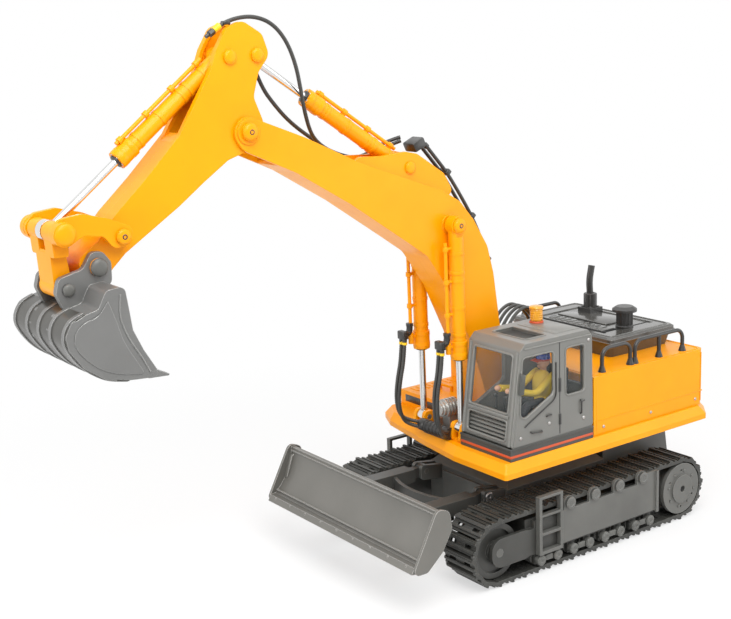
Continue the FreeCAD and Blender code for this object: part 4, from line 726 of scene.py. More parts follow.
def makeRunningGear(plan):
    low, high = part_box("lower_rollers")
    face, z = high.y / mm, (low.z + high.z) / 2 / mm
    first, last = (low.x - slewX) / mm + plan["rollerInset"], (high.x - slewX) / mm - plan["rollerInset"]
    pitch = (last - first) / (plan["rollers"] - 1)
    for word, side in sides:
        out = (0, side, 0)
        bm = bmesh.new()
        for i in range(plan["rollers"]):
            addLathe(bm, plan["rollerCap"], (first + i * pitch, side * face, z), out, 20)
        for i in range(plan["rollers"] // 2):         # the saddle that joins each pair of rollers
            x = first + (2 * i + 0.5) * pitch
            inner, outer = sorted((side * (face - 2.4), side * (face - 0.6)))
            addBox(bm, (x - 3.4, inner, z - 1.6), (x + 3.4, outer, z + 2.6), 0.5)
        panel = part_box("side_panel_" + word)
        panelFace = (panel[1].y if side > 0 else panel[0].y) / mm
        for x in plan["lobeX"]:
            addLathe(bm, plan["lobeCap"], (x, panelFace, plan["lobeZ"]), out, 24)
        finishPiece("rollerCaps_" + word, bm, "panelPlastic", "undercarriage")

        sprocket = "sprocket_" + word
        hub = (plan["sprocketX"], side * plan["sprocketFace"], trackPlan["axle"])
        places = []
        for spot in range(plan["bolts"]):
            angle = math.radians(360 * spot / plan["bolts"] + plan["boltTurn"])
            places.append((at(hub[0] + plan["boltCircle"] * math.cos(angle), hub[1],
                              hub[2] + plan["boltCircle"] * math.sin(angle)), facing(side)))
        scatter("sprocketBolts_" + word, screwPattern(1.1, 0.8, False), "panelPlastic", sprocket,
                places)
        # the hub, and a near-black disc at its centre that is painted shade for the hole
        for label, profile, finish, count in (("Hub", plan["hub"], "panelPlastic", 40),
                                              ("Hole", plan["hole"], "paintedGapShade", 6)):
            bm = bmesh.new()
            addLathe(bm, profile, hub, out, count)
            finishPiece("sprocket%s_%s" % (label, word), bm, finish, sprocket)


makeRunningGear(gearPlan)
print("running gear ready")


cabPlan = {"near": 81.0, "far": 28.6, "roof": 168.0, "lean": 9.5 / 67.5, "front": 79.0, "sill": 96.0,
           "doorWindow": [(67.5, 158.5), (38.5, 158.5), (38.5, 128.0), (66.0, 115.0), (70.5, 118.0)],
           "rearWindow": [(27.0, 158.5), (8.5, 158.5), (8.5, 124.0), (27.0, 124.0)],
           "frameR": 0.85, "skylight": (37.0, 57.0, 38.0, 72.5), "screens": ((119.0, 160.0), (100.0, 114.5)),
           "bolts": ((9.4, 104.2), (43.0, 107.4), (70.0, 102.0), (4.6, 160.5)), "stripe": (89.4, 91.2),
           "lip": (94.4, 96.3)}


def windscreenX(z):
    return cabPlan["front"] - (z - cabPlan["sill"]) * cabPlan["lean"]


def makeCab(plan):
    near, far, roof = plan["near"], plan["far"], plan["roof"]
    frames = bmesh.new()
    for outline in (plan["doorWindow"], plan["rearWindow"]):
        for y in (near - 0.1, far + 0.1):
            if outline is plan["rearWindow"] and y < near - 1:
                continue
            path = roundedPath([at(x, y, z) for x, z in outline], 3.4, True)
            addTube(frames, path, plan["frameR"], 10, True, 0.75)
    for z0, z1 in plan["screens"]:
        corners = ((far + 6, z0), (near - 6, z0), (near - 6, z1), (far + 6, z1))
        ring = [at(windscreenX(z), y, z) for y, z in corners]
        addTube(frames, roundedPath(ring, 3.0, True), plan["frameR"], 10, True)
    x0, x1, y0, y1 = plan["skylight"]
    ring = [at(x, y, roof) for x, y in ((x0, y0), (x1, y0), (x1, y1), (x0, y1))]
    addTube(frames, roundedPath(ring, 2.0, True), 0.7, 10, True)
    for y in (far + 2.2, near - 2.2):                 # raised pillars up the windscreen's sides
        path = [at(windscreenX(z), y, z) for z in (97.5, 130.0, 162.5)]
        addTube(frames, path, 1.15, 10)
    barX = windscreenX(117)                           # bar between the two panes
    addBox(frames, (barX - 0.6, far + 5.0, 115.6), (barX + 1.0, near - 5.0, 118.2), 0.4)
    addBox(frames, (71.5, near - 0.3, 97.0), (73.0, near + 0.35, 150.0), 0.25, ((0, 1, 0), -8.0))
    finishPiece("cabFrames", frames, "cabPlastic", "house")

    seals = bmesh.new()                               # black seals round the door and its window
    path = [at(36.2, near + 0.25, 150.0), at(36.2, near + 0.25, 124.2), at(66.2, near + 0.25, 109.2)]
    addTube(seals, roundedPath(path, 5.0), 0.75, 8, False, 0.6)
    inner = roundedPath([at(x, near - 1.1, z) for x, z in plan["doorWindow"]], 3.0, True)
    addTube(seals, inner, 0.6, 8, True)
    addBox(seals, (32.3, near - 0.2, 97.5), (33.1, near + 0.12, 164.0))
    for z0, z1 in ((128.0, 138.0), (104.0, 112.0)):   # hinges
        addBox(seals, (31.6, near - 0.1, z0), (33.6, near + 0.7, z1), 0.3)
    finishPiece("cabSeals", seals, "blackPlastic", "house")

    louvre = bmesh.new()                              # bars behind the lower windscreen
    for i in range(5):
        z = 101.6 + i * 2.9
        x = windscreenX(z) - 2.2
        addBox(louvre, (x - 0.9, far + 6.6, z - 0.5), (x + 1.0, near - 6.6, z + 0.9), 0.25, ((0, 1, 0), 24))
    finishPiece("cabLouvres", louvre, "cabPlastic", "house")

    fittings = bmesh.new()                            # grip, door handle and rear hook
    grip = [at(60.5, near - 0.4, 104.6), at(60.5, near + 1.5, 104.2), at(50.5, near + 1.5, 103.2),
            at(50.5, near - 0.4, 103.4)]
    addTube(fittings, roundedPath(grip, 1.2), 0.6, 8)
    handle = [at(45.5, near - 0.4, 112.5), at(45.5, near + 1.3, 113.4), at(41.5, near + 1.3, 113.6),
              at(41.5, near - 0.4, 112.8)]
    addTube(fittings, roundedPath(handle, 0.9), 0.55, 8)
    hook = [at(12.5, near - 0.4, 118.0), at(12.5, near + 1.3, 117.6), at(12.5, near + 1.3, 108.5),
            at(12.5, near - 0.4, 108.0)]
    addTube(fittings, roundedPath(hook, 1.0), 0.6, 8)
    addTube(fittings, roundedPath([at(12.5, near + 1.3, 117.0), at(9.6, near + 1.3, 117.4)], 1.0), 0.55, 8)
    finishPiece("cabFittings", fittings, "blackPlastic", "house")

    trim = bmesh.new()                                # roof panel and rain gutters
    addBox(trim, (6.0, 36.0, roof - 0.3), (30.5, 74.5, roof + 0.35), 0.3)
    addBox(trim, (9.0, 39.5, roof + 0.1), (27.5, 71.0, roof + 0.6), 0.25)
    addTube(trim, [at(2.5, near + 0.1, 164.0), at(66.0, near + 0.1, 164.4)], 0.6, 8)
    addTube(trim, [at(2.5, far - 0.1, 164.0), at(66.0, far - 0.1, 164.4)], 0.6, 8)
    finishPiece("cabTrim", trim, "cabPlastic", "house")

    mirror = bmesh.new()
    addBox(mirror, (66.6, near + 0.4, 133.0), (71.2, near + 1.7, 147.5), 0.6, ((0, 1, 0), -8.0))
    addTube(mirror, [at(69.6, near - 0.3, 148.6), at(69.2, near + 1.0, 147.2)], 0.6, 8)
    finishPiece("cabMirror", mirror, "bandPlastic", "house")

    bolts = [(at(x, near - 0.1, z), facing(1)) for x, z in plan["bolts"]]
    scatter("cabBolts", screwPattern(1.25, 0.8), "steelPin", "house", bolts)

    stripe = bmesh.new()                              # painted line round the cab's foot
    z0, z1 = plan["stripe"]
    addBox(stripe, (0.4, near + 0.2, z0), (79.7, near + 0.62, z1), 0.08)
    addBox(stripe, (79.2, far + 0.2, z0), (79.72, near + 0.55, z1), 0.08)
    finishPiece("cabStripe", stripe, "stripeOrange", "house")
    lip = bmesh.new()
    z0, z1 = plan["lip"]
    addBox(lip, (-0.1, near + 0.1, z0), (80.0, near + 0.75, z1), 0.25)
    addBox(lip, (79.2, far - 0.3, z0), (80.0, near + 0.7, z1), 0.25)
    finishPiece("cabLip", lip, "bandPlastic", "house")


makeCab(cabPlan)
print("cab ready")


beaconPlan = {
    "centre": (17.0, 41.5, 168.0), "rings": 5, "ringPitch": 1.55,
    "foot": [(0, 0.05), (5.1, 0.05), (5.15, 1.4), (4.7, 1.9), (4.5, 1.9), (4.4, 0.8), (0, 0.8)],
    "bulb": [(0, 2.2), (1.6, 2.2), (1.6, 6.5), (1.2, 8.6), (0, 9.4)],
}


def makeBeacon(plan):
    centre, up = plan["centre"], (0, 0, 1)
    foot = bmesh.new()
    addLathe(foot, plan["foot"], centre, up)
    finishPiece("beaconBase", foot, "stripeOrange", "house")
    lens = bmesh.new()
    profile = [(0, 2.0), (4.2, 2.0), (4.5, 2.6)]
    for i in range(plan["rings"]):                    # moulded rings in the lens
        z = 3.0 + i * plan["ringPitch"]
        profile += [(4.55, z), (4.75, z + 0.5), (4.55, z + 1.0)]
    profile += [(5.15, 11.0), (5.2, 11.8), (4.7, 12.5), (3.2, 12.9), (0, 12.95)]
    addLathe(lens, profile, centre, up, 32)
    piece = finishPiece("beaconLens", lens, "amberLens", "house")
    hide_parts("beacon")
    bulb = bmesh.new()
    addLathe(bulb, plan["bulb"], centre, up, 16)
    finishPiece("beaconBulb", bulb, "collarYellow", "house")


makeBeacon(beaconPlan)
print("beacon ready")


driverPlan = {
    "middle": 55.0, "head": (23.5, 55.0, 143.8), "levers": (49.5, 60.5), "leverX": 63.0, "hand": 129.9,
    "arm": 2.5, "leg": 2.8, "skull": (5.0, 4.4, 5.7),
    "cap": [(5.2, 0), (5.35, 1.8), (4.6, 4.6), (2.6, 6.2), (0, 6.7)],
    "capBand": [(5.3, 0), (5.5, 0.3), (5.5, 0.9), (5.3, 1.2)],
}


def makeDriver(plan):
    middle = plan["middle"]
    vest, trousers, skin = bmesh.new(), bmesh.new(), bmesh.new()
    addBall(vest, (24.5, middle, 125.5), (6.4, 8.4, 12.2))
    addBall(vest, (24.6, middle, 116.2), (6.6, 7.8, 4.6))
    for side, lever in ((-1, plan["levers"][0]), (1, plan["levers"][1])):
        shoulder, elbow = at(24.6, middle + side * 8.2, 133.4), at(39.0, middle + side * 9.6, 124.0)
        wrist = at(plan["leverX"] - 2.5, lever, plan["hand"] - 0.4)
        blade = shoulder - Vector((3 * mm, 0, -mm))   # the sleeve starts inside the back
        addTube(vest, roundedPath([blade, shoulder, elbow, wrist], 5.0), plan["arm"], 14)
        addBall(skin, (plan["leverX"] - 0.6, lever, plan["hand"]), (2.4, 1.9, 2.0))
        legY = middle + side * 5.4
        hip, knee, foot = at(26.0, middle + side * 4.2, 115.4), at(46.0, legY, 116.2), at(48.6, legY, 101.0)
        addTube(trousers, roundedPath([hip, knee, foot], 4.0), plan["leg"], 14)
        addBox(trousers, (46.0, legY - 2.3, 97.8), (54.5, legY + 2.3, 101.2), 1.0)
    x, y, z = plan["head"]
    up = (0, 0, 1)
    addLathe(skin, [(2.5, 0), (2.3, 3), (2.5, 6)], (x, y, z - 9.5), up, 16)
    addBall(skin, (x, y, z), plan["skull"])
    addBall(skin, (x + 4.9, y, z - 0.6), (0.9, 0.7, 1.0))           # nose
    addBall(skin, (x + 3.6, y, z - 3.6), (1.4, 1.9, 1.3))           # chin
    for side in (-1, 1):
        addBall(skin, (x + 0.2, y + side * 4.3, z - 0.4), (1.0, 0.5, 1.3))
    body = finishPiece("driverVest", vest, "vestCloth", "house")
    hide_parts("driver")
    finishPiece("driverTrousers", trousers, "trouserCloth", "house")
    finishPiece("driverSkin", skin, "skinPaint", "house")
    eyes = bmesh.new()
    for side in (-1, 1):
        addBall(eyes, (x + 4.35, y + side * 1.8, z + 0.7), (0.4, 0.55, 0.4))
    addBox(eyes, (x + 4.2, y - 1.1, z - 2.5), (x + 4.75, y + 1.1, z - 2.2))
    finishPiece("driverFace", eyes, "trouserCloth", "house")
    cap = bmesh.new()
    addLathe(cap, plan["cap"], (x, y, z + 0.7), up, 24)
    finishPiece("driverHelmet", cap, "helmetBlue", "house")
    peak = bmesh.new()
    outline = [(x + 3.2, z + 1.0), (x + 8.8, z + 0.6), (x + 8.8, z + 1.3), (x + 3.2, z + 2.2)]
    addSlab(peak, outline, y - 3.9, y + 3.9, 0.3)
    addLathe(peak, plan["capBand"], (x, y, z + 0.6), up, 24)
    finishPiece("driverPeak", peak, "signalRed", "house")


makeDriver(driverPlan)
print("driver ready")


hoodPlan = {
    "box": (-117.0, -47.0, -53.0, 54.0), "top": 147.0, "ribs": 9, "ribPitch": 6.4,
    "holes": ((-60, -32), (-60, 34), (-66, -18), (-66, 22), (-86, 12), (-90, -34)),
    "exhaust": (-101.0, -20.0), "collar": [(5.4, 0), (5.4, 11.2), (5.0, 12.0), (3.2, 12.3), (3.2, 11.0)],
    "filter": (-83.0, 34.0), "filterRibs": 14, "filterFoot": [(6.3, 0.2), (6.9, 0.2), (6.9, 1.6), (6.3, 2.2)],
}


def makeHood(plan):
    x0, x1, y0, y1 = plan["box"]
    top, up = plan["top"], (0, 0, 1)
    lid = bmesh.new()
    addBox(lid, (x0 + 13, y0 + 20, top - 0.9), (x1 - 30, y1 - 34, top + 0.4), 0.4)      # long raised panel
    addBox(lid, (x1 - 26, y0 + 22, top - 0.9), (x1 - 13, y1 - 22, top + 0.2), 0.4)
    for i in range(plan["ribs"]):                     # cooling ribs
        y = y0 + 26 + i * plan["ribPitch"]
        addBox(lid, (x1 - 24.5, y, top), (x1 - 14.5, y + 2.6, top + 0.9), 0.3)
    for inset, drop, corner, radius, flat in ((3, 0.1, 4.0, 0.8, 0.7), (-0.9, 4.2, 3.0, 0.5, 1.0)):
        low, high = (x0 + inset, y0 + inset), (x1 - inset, y1 - inset)
        corners = (low, (high[0], low[1]), high, (low[0], high[1]))
        ring = [at(x, y, top - drop) for x, y in corners]
        addTube(lid, roundedPath(ring, corner, True), radius, 8, True, flat)
    finishPiece("hoodPanels", lid, "hoodPlastic", "house")
    # painted shade: near-black discs in the holes, a dark rim round the foot of the ribbed panel and a dark
    # line along the hood
    dark = bmesh.new()
    addBox(dark, (x1 - 27.2, y0 + 20.5, top - 0.9), (x1 - 11.8, y1 - 20.5, top - 0.35), 0.1)
    for x, y in plan["holes"]:
        addLathe(dark, [(1.9, -0.9), (1.9, 0.12), (0, 0.12)], (x, y, top - 0.4), up, 18)
    addBox(dark, (x0 + 8.5, y1 - 20.0, top - 0.9), (x1 - 12.0, y1 - 18.9, top - 0.55), 0.1)
    finishPiece("hoodHoles", dark, "paintedGapShade", "house")
    chimney = bmesh.new()
    ex, ey = plan["exhaust"]
    addLathe(chimney, plan["collar"], (ex, ey, top + 3.6), up, 8)
    for i in range(4):                                # its four feet
        angle = math.radians(90 * i + 45)
        footX, footY = ex + 6.0 * math.cos(angle), ey + 6.0 * math.sin(angle)
        addBox(chimney, (footX - 0.9, footY - 0.9, top - 0.2), (footX + 0.9, footY + 0.9, top + 5.0), 0.3)
    finishPiece("exhaustCollar", chimney, "blackPlastic", "house")
    filterTop = bmesh.new()
    fx, fy = plan["filter"]
    addLathe(filterTop, plan["filterFoot"], (fx, fy, top - 0.8), up, 32)
    for i in range(plan["filterRibs"]):
        angle = 2 * math.pi * i / plan["filterRibs"]
        ribX, ribY = fx + 6.0 * math.cos(angle), fy + 6.0 * math.sin(angle)
        addTube(filterTop, [at(ribX, ribY, z) for z in (top + 1.2, top + 11.8)], 0.45, 6)
    finishPiece("filterRibs", filterTop, "blackPlastic", "house")


coverPlan = {"top": 131.0, "near": 80.0, "back": -120.0, "front": -4.0, "line": (97.6, 98.5),
             "edges": (-118.6, -5.2), "grille": 6, "louvres": 5, "vents": 3, "treads": 8,
             "screws": (-112.0, -62.0, -12.0)}


def makeCover(plan):
    near, top, (z0, z1) = plan["near"], plan["top"], plan["line"]
    lines = bmesh.new()                               # pressed lines, seams and grilles of the cover
    addBox(lines, (plan["back"], near - 0.3, z0), (plan["front"], near + 0.25, z1), 0.15)
    for x in plan["edges"]:
        addBox(lines, (x, near - 0.3, 90.0), (x + 0.8, near + 0.2, 128.5), 0.15)
        addBox(lines, (x, -near - 0.2, 90.0), (x + 0.8, -near + 0.3, 128.5), 0.15)
    addBox(lines, (plan["back"], -near - 0.25, z0), (plan["front"], -near + 0.3, z1), 0.15)
    for i in range(plan["grille"]):                   # rear grille
        z = 101.0 + i * 4.2
        addBox(lines, (-122.35, -46.0, z), (-121.7, 46.0, z + 1.9), 0.2)
    corners = ((-119.6, -77.5), (-4.5, -77.5), (-4.5, 77.5), (-119.6, 77.5))
    addTube(lines, roundedPath([at(x, y, top + 0.1) for x, y in corners], 5.0, True), 0.45, 8, True)
    for i in range(plan["louvres"]):                  # louvres on the front face
        z = 104.0 + i * 4.4
        addBox(lines, (-2.3, -70.0, z), (-1.5, -40.0, z + 1.8), 0.2)
    finishPiece("coverLines", lines, "yellowPaint", "house")
    vents = bmesh.new()
    for i in range(plan["vents"]):
        addBox(vents, (47.9, -70.0 + i * 12.5, 91.5), (50.35, -60.5 + i * 12.5, 95.5), 0.2)
    addBox(vents, (49.8, -74.0, 90.6), (50.15, -36.0, 96.2), 0.1)
    finishPiece("boxVents", vents, "blackPlastic", "house")
    treads = bmesh.new()                              # anti-slip bars on the box
    for i in range(plan["treads"]):
        addBox(treads, (4.0 + i * 5.4, -76.0, 98.9), (6.0 + i * 5.4, -66.0, 99.45), 0.2)
    finishPiece("boxTreads", treads, "yellowPaint", "house")
    spots = [(at(x, side * near, 92.5), facing(side)) for x in plan["screws"] for side in (-1, 1)]
    scatter("coverScrews", screwPattern(1.2, 0.7), "steelPin", "house", spots)


makeHood(hoodPlan)
makeCover(coverPlan)
print("house ready")


cylinderPlan = {                                      # a barrel's closed eye, its rod's far eye, its length
    "barrels": {
        "boom_barrel_left": ((74.2, 21.5, 244.4), (73.0, 21.5, 96.0), 96.0),
        "boom_barrel_right": ((74.2, -21.5, 244.4), (73.0, -21.5, 96.0), 96.0),
        "stick_barrel": ((104.1, 0.0, 286.6), (221.4, 0.0, 367.4), 92.0),
        "bucket_barrel": ((240.9, 0.0, 367.2), (361.0, 0.0, 274.5), 93.0),
    },
    "gland": [(5.1, -13.2), (6.2, -13.0), (6.3, -12.2), (6.3, -9.6), (6.05, -9.2), (6.05, -5.2), (6.3, -4.8),
              (6.3, -1.4), (6.1, -0.6), (6.0, 0.25), (2.9, 0.25), (2.9, -0.4), (5.1, -0.6)],
    "band": [(5.1, -64.0), (5.75, -63.8), (5.75, -61.4), (5.1, -61.2)],
    "wiper": [(2.48, 0.1), (4.3, 0.1), (4.1, 1.3), (2.9, 1.7), (2.48, 1.7)],
    "strap": [(5.1, 0), (5.65, 0.1), (5.65, 2.4), (5.1, 2.5)],
    "straps": 4, "firstStrap": 19.0, "strapPitch": 19.5, "bolts": 6, "boltCircle": 4.95,
}


def makeCylinderTrim(plan):
    for body, (eye, rodEye, length) in plan["barrels"].items():
        eye = Vector(eye)
        axis = (Vector(rodEye) - eye).normalized()
        end = eye + axis * length
        collar = bmesh.new()
        addLathe(collar, plan["gland"], end, axis, 36, True)
        addLathe(collar, plan["band"], end, axis, 32, True)
        finishPiece(body + "_collar", collar, "yellowPaint", body)
        wiper = bmesh.new()
        addLathe(wiper, plan["wiper"], end, axis, 28, True)
        finishPiece(body + "_wiper", wiper, "blackPlastic", body)
        straps = bmesh.new()                          # straps of the pipe clips
        for i in range(plan["straps"]):
            spot = end - axis * (plan["firstStrap"] + i * plan["strapPitch"])
            addLathe(straps, plan["strap"], spot, axis, 28, True)
        finishPiece(body + "_straps", straps, "yellowPaint", body)
        spots = []
        turn = axis.to_track_quat("Z", "Y")
        for i in range(plan["bolts"]):
            angle = math.radians(360 * i / plan["bolts"] + 30)
            side = turn @ Vector((math.cos(angle), math.sin(angle), 0))
            spots.append((at(*(end + side * plan["boltCircle"] + axis * 0.1)), tuple(turn.to_euler())))
        scatter(body + "_bolts", screwPattern(0.75, 0.5, False), "steelPin", body, spots)


makeCylinderTrim(cylinderPlan)
print("cylinders ready")


# each route is a list of points from the fitting to the far end
def routeCurve(name, points):
    curve = bpy.data.curves.new(name, "CURVE")
    curve.dimensions = "3D"
    spline = curve.splines.new("NURBS")
    spline.points.add(len(points) - 1)
    for knot, point in zip(spline.points, points):
        knot.co = (*at(*point), 1.0)
    spline.order_u = 3
    spline.use_endpoint_u = True
    spline.resolution_u = 10
    holder = bpy.data.objects.new(name + "Route", curve)
    collection.objects.link(holder)
    line = bpy.data.meshes.new_from_object(holder.evaluated_get(bpy.context.evaluated_depsgraph_get()))
    path = [v.co.copy() for v in line.vertices]
    bpy.data.objects.remove(holder)
    bpy.data.curves.remove(curve)
    bpy.data.meshes.remove(line)
    return path


def addHose(name, points, radius, bodies, ribs=0.0, finish="hoseRubber"):
    path = routeCurve(name, points)
    dense = []                                        # even steps, short enough to show the ribs
    step = (hosePlan["ribStep"] if ribs else hosePlan["plainStep"]) * mm
    for a, b in zip(path, path[1:]):
        count = max(1, round((b - a).length / step))
        dense += [a.lerp(b, k / count) for k in range(count)]
    dense.append(path[-1])
    bm = bmesh.new()
    if ribs:
        pitch = hosePlan["ribPitch"]
        addTube(bm, dense, lambda s: radius - ribs * (0.5 + 0.5 * math.cos(2 * math.pi * s / pitch)), 12)
    else:
        addTube(bm, dense, radius, 12)
    piece = finishPiece(name, bm, finish, None, sharp=60)
    if len(bodies) == 2:
        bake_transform(piece)
    else:
        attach(piece, bodies[0])
    return piece


hosePlan = {
    "thick": 1.5, "thin": 1.3, "ribDepth": 0.28, "ribPitch": 1.7, "ribStep": 0.5, "plainStep": 1.2,
    "y": 21.5, "gap": 1.9, "ends": {"left": 13.5, "right": -12.5}, "loopY": (-8.4, -2.8, 2.8, 8.4),
    "backY": (-3.4, 3.4), "sockets": ((-39.5, -24.5), (-39.0, -19.0), (-39.5, -13.5), (-39.0, -8.0)),
    "clamps": ((65.5, 279.2), (43.6, 245.6), (29.6, 212.0)), "blockEnds": (-12.5, 13.5),
}


def makeCylinderHoses(plan):
    for word, side in sides:
        y, endY = side * plan["y"], plan["ends"][word]
        for k, shift in enumerate((-plan["gap"], plan["gap"])):
            points = [(90.5, y + shift, 157.8), (91.5, y + shift, 143.0), (95.5, y + shift, 128.0),
                      (97.0, y * 1.04 + shift * 0.9, 113.5), (95.0, y * 1.05 + shift * 0.6, 101.5),
                      (88.5 + 1.5 * k, y + shift * 0.4, 95.1 - 2.6 * k),
                      (80.0 + 1.8 * k, endY + side * 1.3, 93.5 - 3.2 * k)]
            piece = addHose("cylinderHose_%s_%d" % (word, k), points, plan["thick"], ("house", "boom"),
                            plan["ribDepth"])
            if k == 0:
                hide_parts("boom_cylinder_hoses_" + word)


def makeArmHoses(plan):
    outer = [(253.0, 6.0, 379.5), (243.5, 6.0, 386.0), (232.0, 6.0, 390.1), (218.5, 6.0, 390.9),
             (205.6, 6.0, 386.3), (195.8, 6.0, 375.5), (189.6, 6.0, 360.4), (186.8, 6.0, 345.0),
             (184.0, 5.0, 330.0), (177.5, 1.0, 315.5), (167.0, -6.0, 307.5), (155.0, -11.5, 301.5),
             (142.0, -13.2, 296.5), (128.0, -13.4, 293.5), (116.0, -13.4, 295.0), (107.0, -12.4, 300.0),
             (98.4, -6.0, 303.6)]
    inner = [(211.6, -6.5, 355.8), (207.6, -6.5, 346.0), (200.5, -6.5, 336.5), (191.5, -6.5, 326.3),
             (180.5, -7.5, 317.5), (167.0, -9.5, 309.0), (154.0, -14.4, 300.6), (140.0, -16.4, 295.4),
             (127.0, -16.6, 294.0), (116.0, -16.4, 297.5), (106.5, -14.0, 303.0), (97.6, -7.6, 306.0)]
    piece = addHose("stickHose_outer", outer, plan["thin"], ("boom", "stick"))
    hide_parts("stick_hoses")
    addHose("stickHose_inner", inner, plan["thin"], ("boom", "stick"))
    for number, y in enumerate(plan["backY"]):
        points = [(84.0, y, 299.5), (76.0, y, 290.5), (65.5, y, 278.5), (54.5, y, 262.5), (43.5, y, 245.0),
                  (34.0, y, 225.5), (27.5, y, 203.0), (24.0, y, 181.0), (22.8, y, 160.4)]
        piece = addHose("boomHose_%d" % number, points, plan["thin"], ("boom",))
        if number == 0:
            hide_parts("boom_hoses")
    for number, (y, (x, endY)) in enumerate(zip(plan["loopY"], plan["sockets"])):
        points = [(17.6, y, 155.0), (11.0, y - 1.5, 162.0), (1.0, y - 4.5, 167.6), (-11.0, y - 8.5, 169.0),
                  (-22.5, y - 12.0, 164.6), (-32.5, endY + 2.2, 156.5), (x, endY, 146.0), (x, endY, 135.1)]
        addHose("loopHose_%d" % number, points, plan["thin"], ("house", "boom"))


def makeHoseFittings(plan):
    gaps = (-plan["gap"], plan["gap"])
    for word, side in sides:
        body = "boom_barrel_" + word
        y = side * plan["y"]
        bm = bmesh.new()
        bend = [at(84.2, y, 168.5), at(84.2, y, 164.0), at(85.0, y, 161.2), at(88.0, y, 161.0)]
        addTube(bm, roundedPath(bend, 2.4), 2.35, 18)
        addBox(bm, (88.3, y - 4.0, 157.6), (92.9, y + 4.0, 163.9), 0.9)
        for shift in gaps:
            addLathe(bm, [(1.75, 0), (1.75, 1.4), (1.5, 1.8)], (90.5, y + shift, 155.9), (0, 0, 1), 18)
        addLathe(bm, [(2.5, 0), (2.9, 0.3), (2.9, 2.2), (2.5, 2.5)], (84.2, y, 166.2), (0, 0, 1), 6)
        finishPiece("hoseElbow_" + word, bm, "blackPlastic", body)
        bm = bmesh.new()
        for shift in gaps:
            ring = [(1.55, 0), (1.85, 0.2), (1.85, 1.8), (1.55, 2.0)]
            addLathe(bm, ring, (90.6, y + shift, 153.6), (0, 0, 1), 18)
        finishPiece("hoseRings_" + word, bm, "collarYellow", "boom")
    bm = bmesh.new()                                  # block on the hump and its clamps
    addBox(bm, (86.0, -6.4, 297.2), (96.6, 6.4, 304.4), 1.4, ((0, 1, 0), 24))
    for y in plan["backY"]:
        addLathe(bm, [(1.35, 0), (1.9, 0.2), (1.9, 3.0), (1.5, 3.6)], (85.2, y, 300.6), (-0.72, 0, -0.72), 18)
    addBox(bm, (17.4, -10.8, 148.6), (24.4, 10.8, 159.4), 1.2, ((0, 1, 0), 8))
    for y in plan["loopY"]:
        sleeve = [(1.4, 0), (2.0, 0.3), (2.0, 2.6), (1.6, 3.4)]
        addLathe(bm, sleeve, (19.2, y, 153.4), (-0.62, -0.1, 0.78), 18)
    for x, z in plan["clamps"]:
        addBox(bm, (x - 2.2, -5.6, z - 1.9), (x + 2.2, 5.6, z + 1.9), 0.8, ((0, 1, 0), 45))
    finishPiece("hoseClamps", bm, "blackPlastic", "boom")
    bm = bmesh.new()
    socket = [(2.7, 0), (2.9, 0.3), (2.9, 1.6), (2.1, 2.0), (2.1, 3.4), (1.7, 3.9), (1.4, 3.9)]
    for x, y in plan["sockets"]:
        addLathe(bm, socket, (x, y, 131.6), (0, 0, 1), 6)
    for y in plan["blockEnds"]:
        addLathe(bm, [(4.5, -3.2), (4.7, -2.8), (4.7, 2.8), (4.5, 3.2)], (80.0, y, 91.9), (0, 1, 0), 28)
    finishPiece("hoseSockets", bm, "blackPlastic", "house")
    bm = bmesh.new()                                  # union at the head of the stick
    union, along = [(1.4, 0), (2.2, 0.2), (2.2, 2.6), (1.9, 3.0), (1.9, 5.0), (1.4, 5.2)], (0.81, 0, -0.58)
    addLathe(bm, union, (243.0, 6.0, 386.0), along, 16)
    finishPiece("stickUnion", bm, "collarYellow", "stick")
    bm = bmesh.new()
    addLathe(bm, [(1.4, 0), (2.3, 0.2), (2.3, 3.6), (1.4, 3.8)], (247.6, 6.0, 383.0), along, 8)
    addBox(bm, (236.5, 3.4, 386.2), (241.0, 8.6, 388.6), 0.6)
    finishPiece("stickUnionNut", bm, "blackPlastic", "stick")


makeCylinderHoses(hosePlan)
makeArmHoses(hosePlan)
makeHoseFittings(hosePlan)
print("hoses ready")


pinPlan = {                                           # x, y, z, radius, and a dome's height
    "boomHeads": [(232.1, 17.6, 321.3, 5.2, 1.6), (74.2, 27.0, 244.4, 4.9, 1.2),
                  (104.1, 11.7, 286.6, 3.9, 0.9)],
    "stickHeads": [(221.4, 13.5, 367.4, 3.9, 0.9), (240.9, 13.5, 367.2, 3.9, 0.9),
                   (324.1, 22.6, 268.5, 4.3, 1.1)],
    "bucketHeads": [(339.4, 18.6, 252.1, 5.5, 2.4), (358.8, 17.9, 241.4, 3.7, 1.7)],
    "tipHeads": [(361.0, 25.3, 274.5, 6.4, 1.9)],
    "boomScrews": [(232.1, 18.6, 321.3, 1.9), (74.2, 27.7, 244.4, 1.8)],
    "stickScrews": [(324.1, 23.2, 268.5, 1.7)],
}


def addDome(bm, x, y, z, side, radius, height):
    profile = [(radius, -0.3), (radius, height * 0.2), (radius * 0.94, height * 0.5),
               (radius * 0.76, height * 0.8), (radius * 0.45, height * 0.97), (0, height)]
    addLathe(bm, profile, (x, y, z), (0, side, 0), 32)


def addSocketScrew(bm, x, y, z, side, radius):
    profile = [(radius, -0.4), (radius, 0.45), (radius * 0.78, 0.7), (radius * 0.55, 0.7),
               (radius * 0.5, 0.1), (0, 0.1)]
    addLathe(bm, profile, (x, y, z), (0, side, 0), 18)


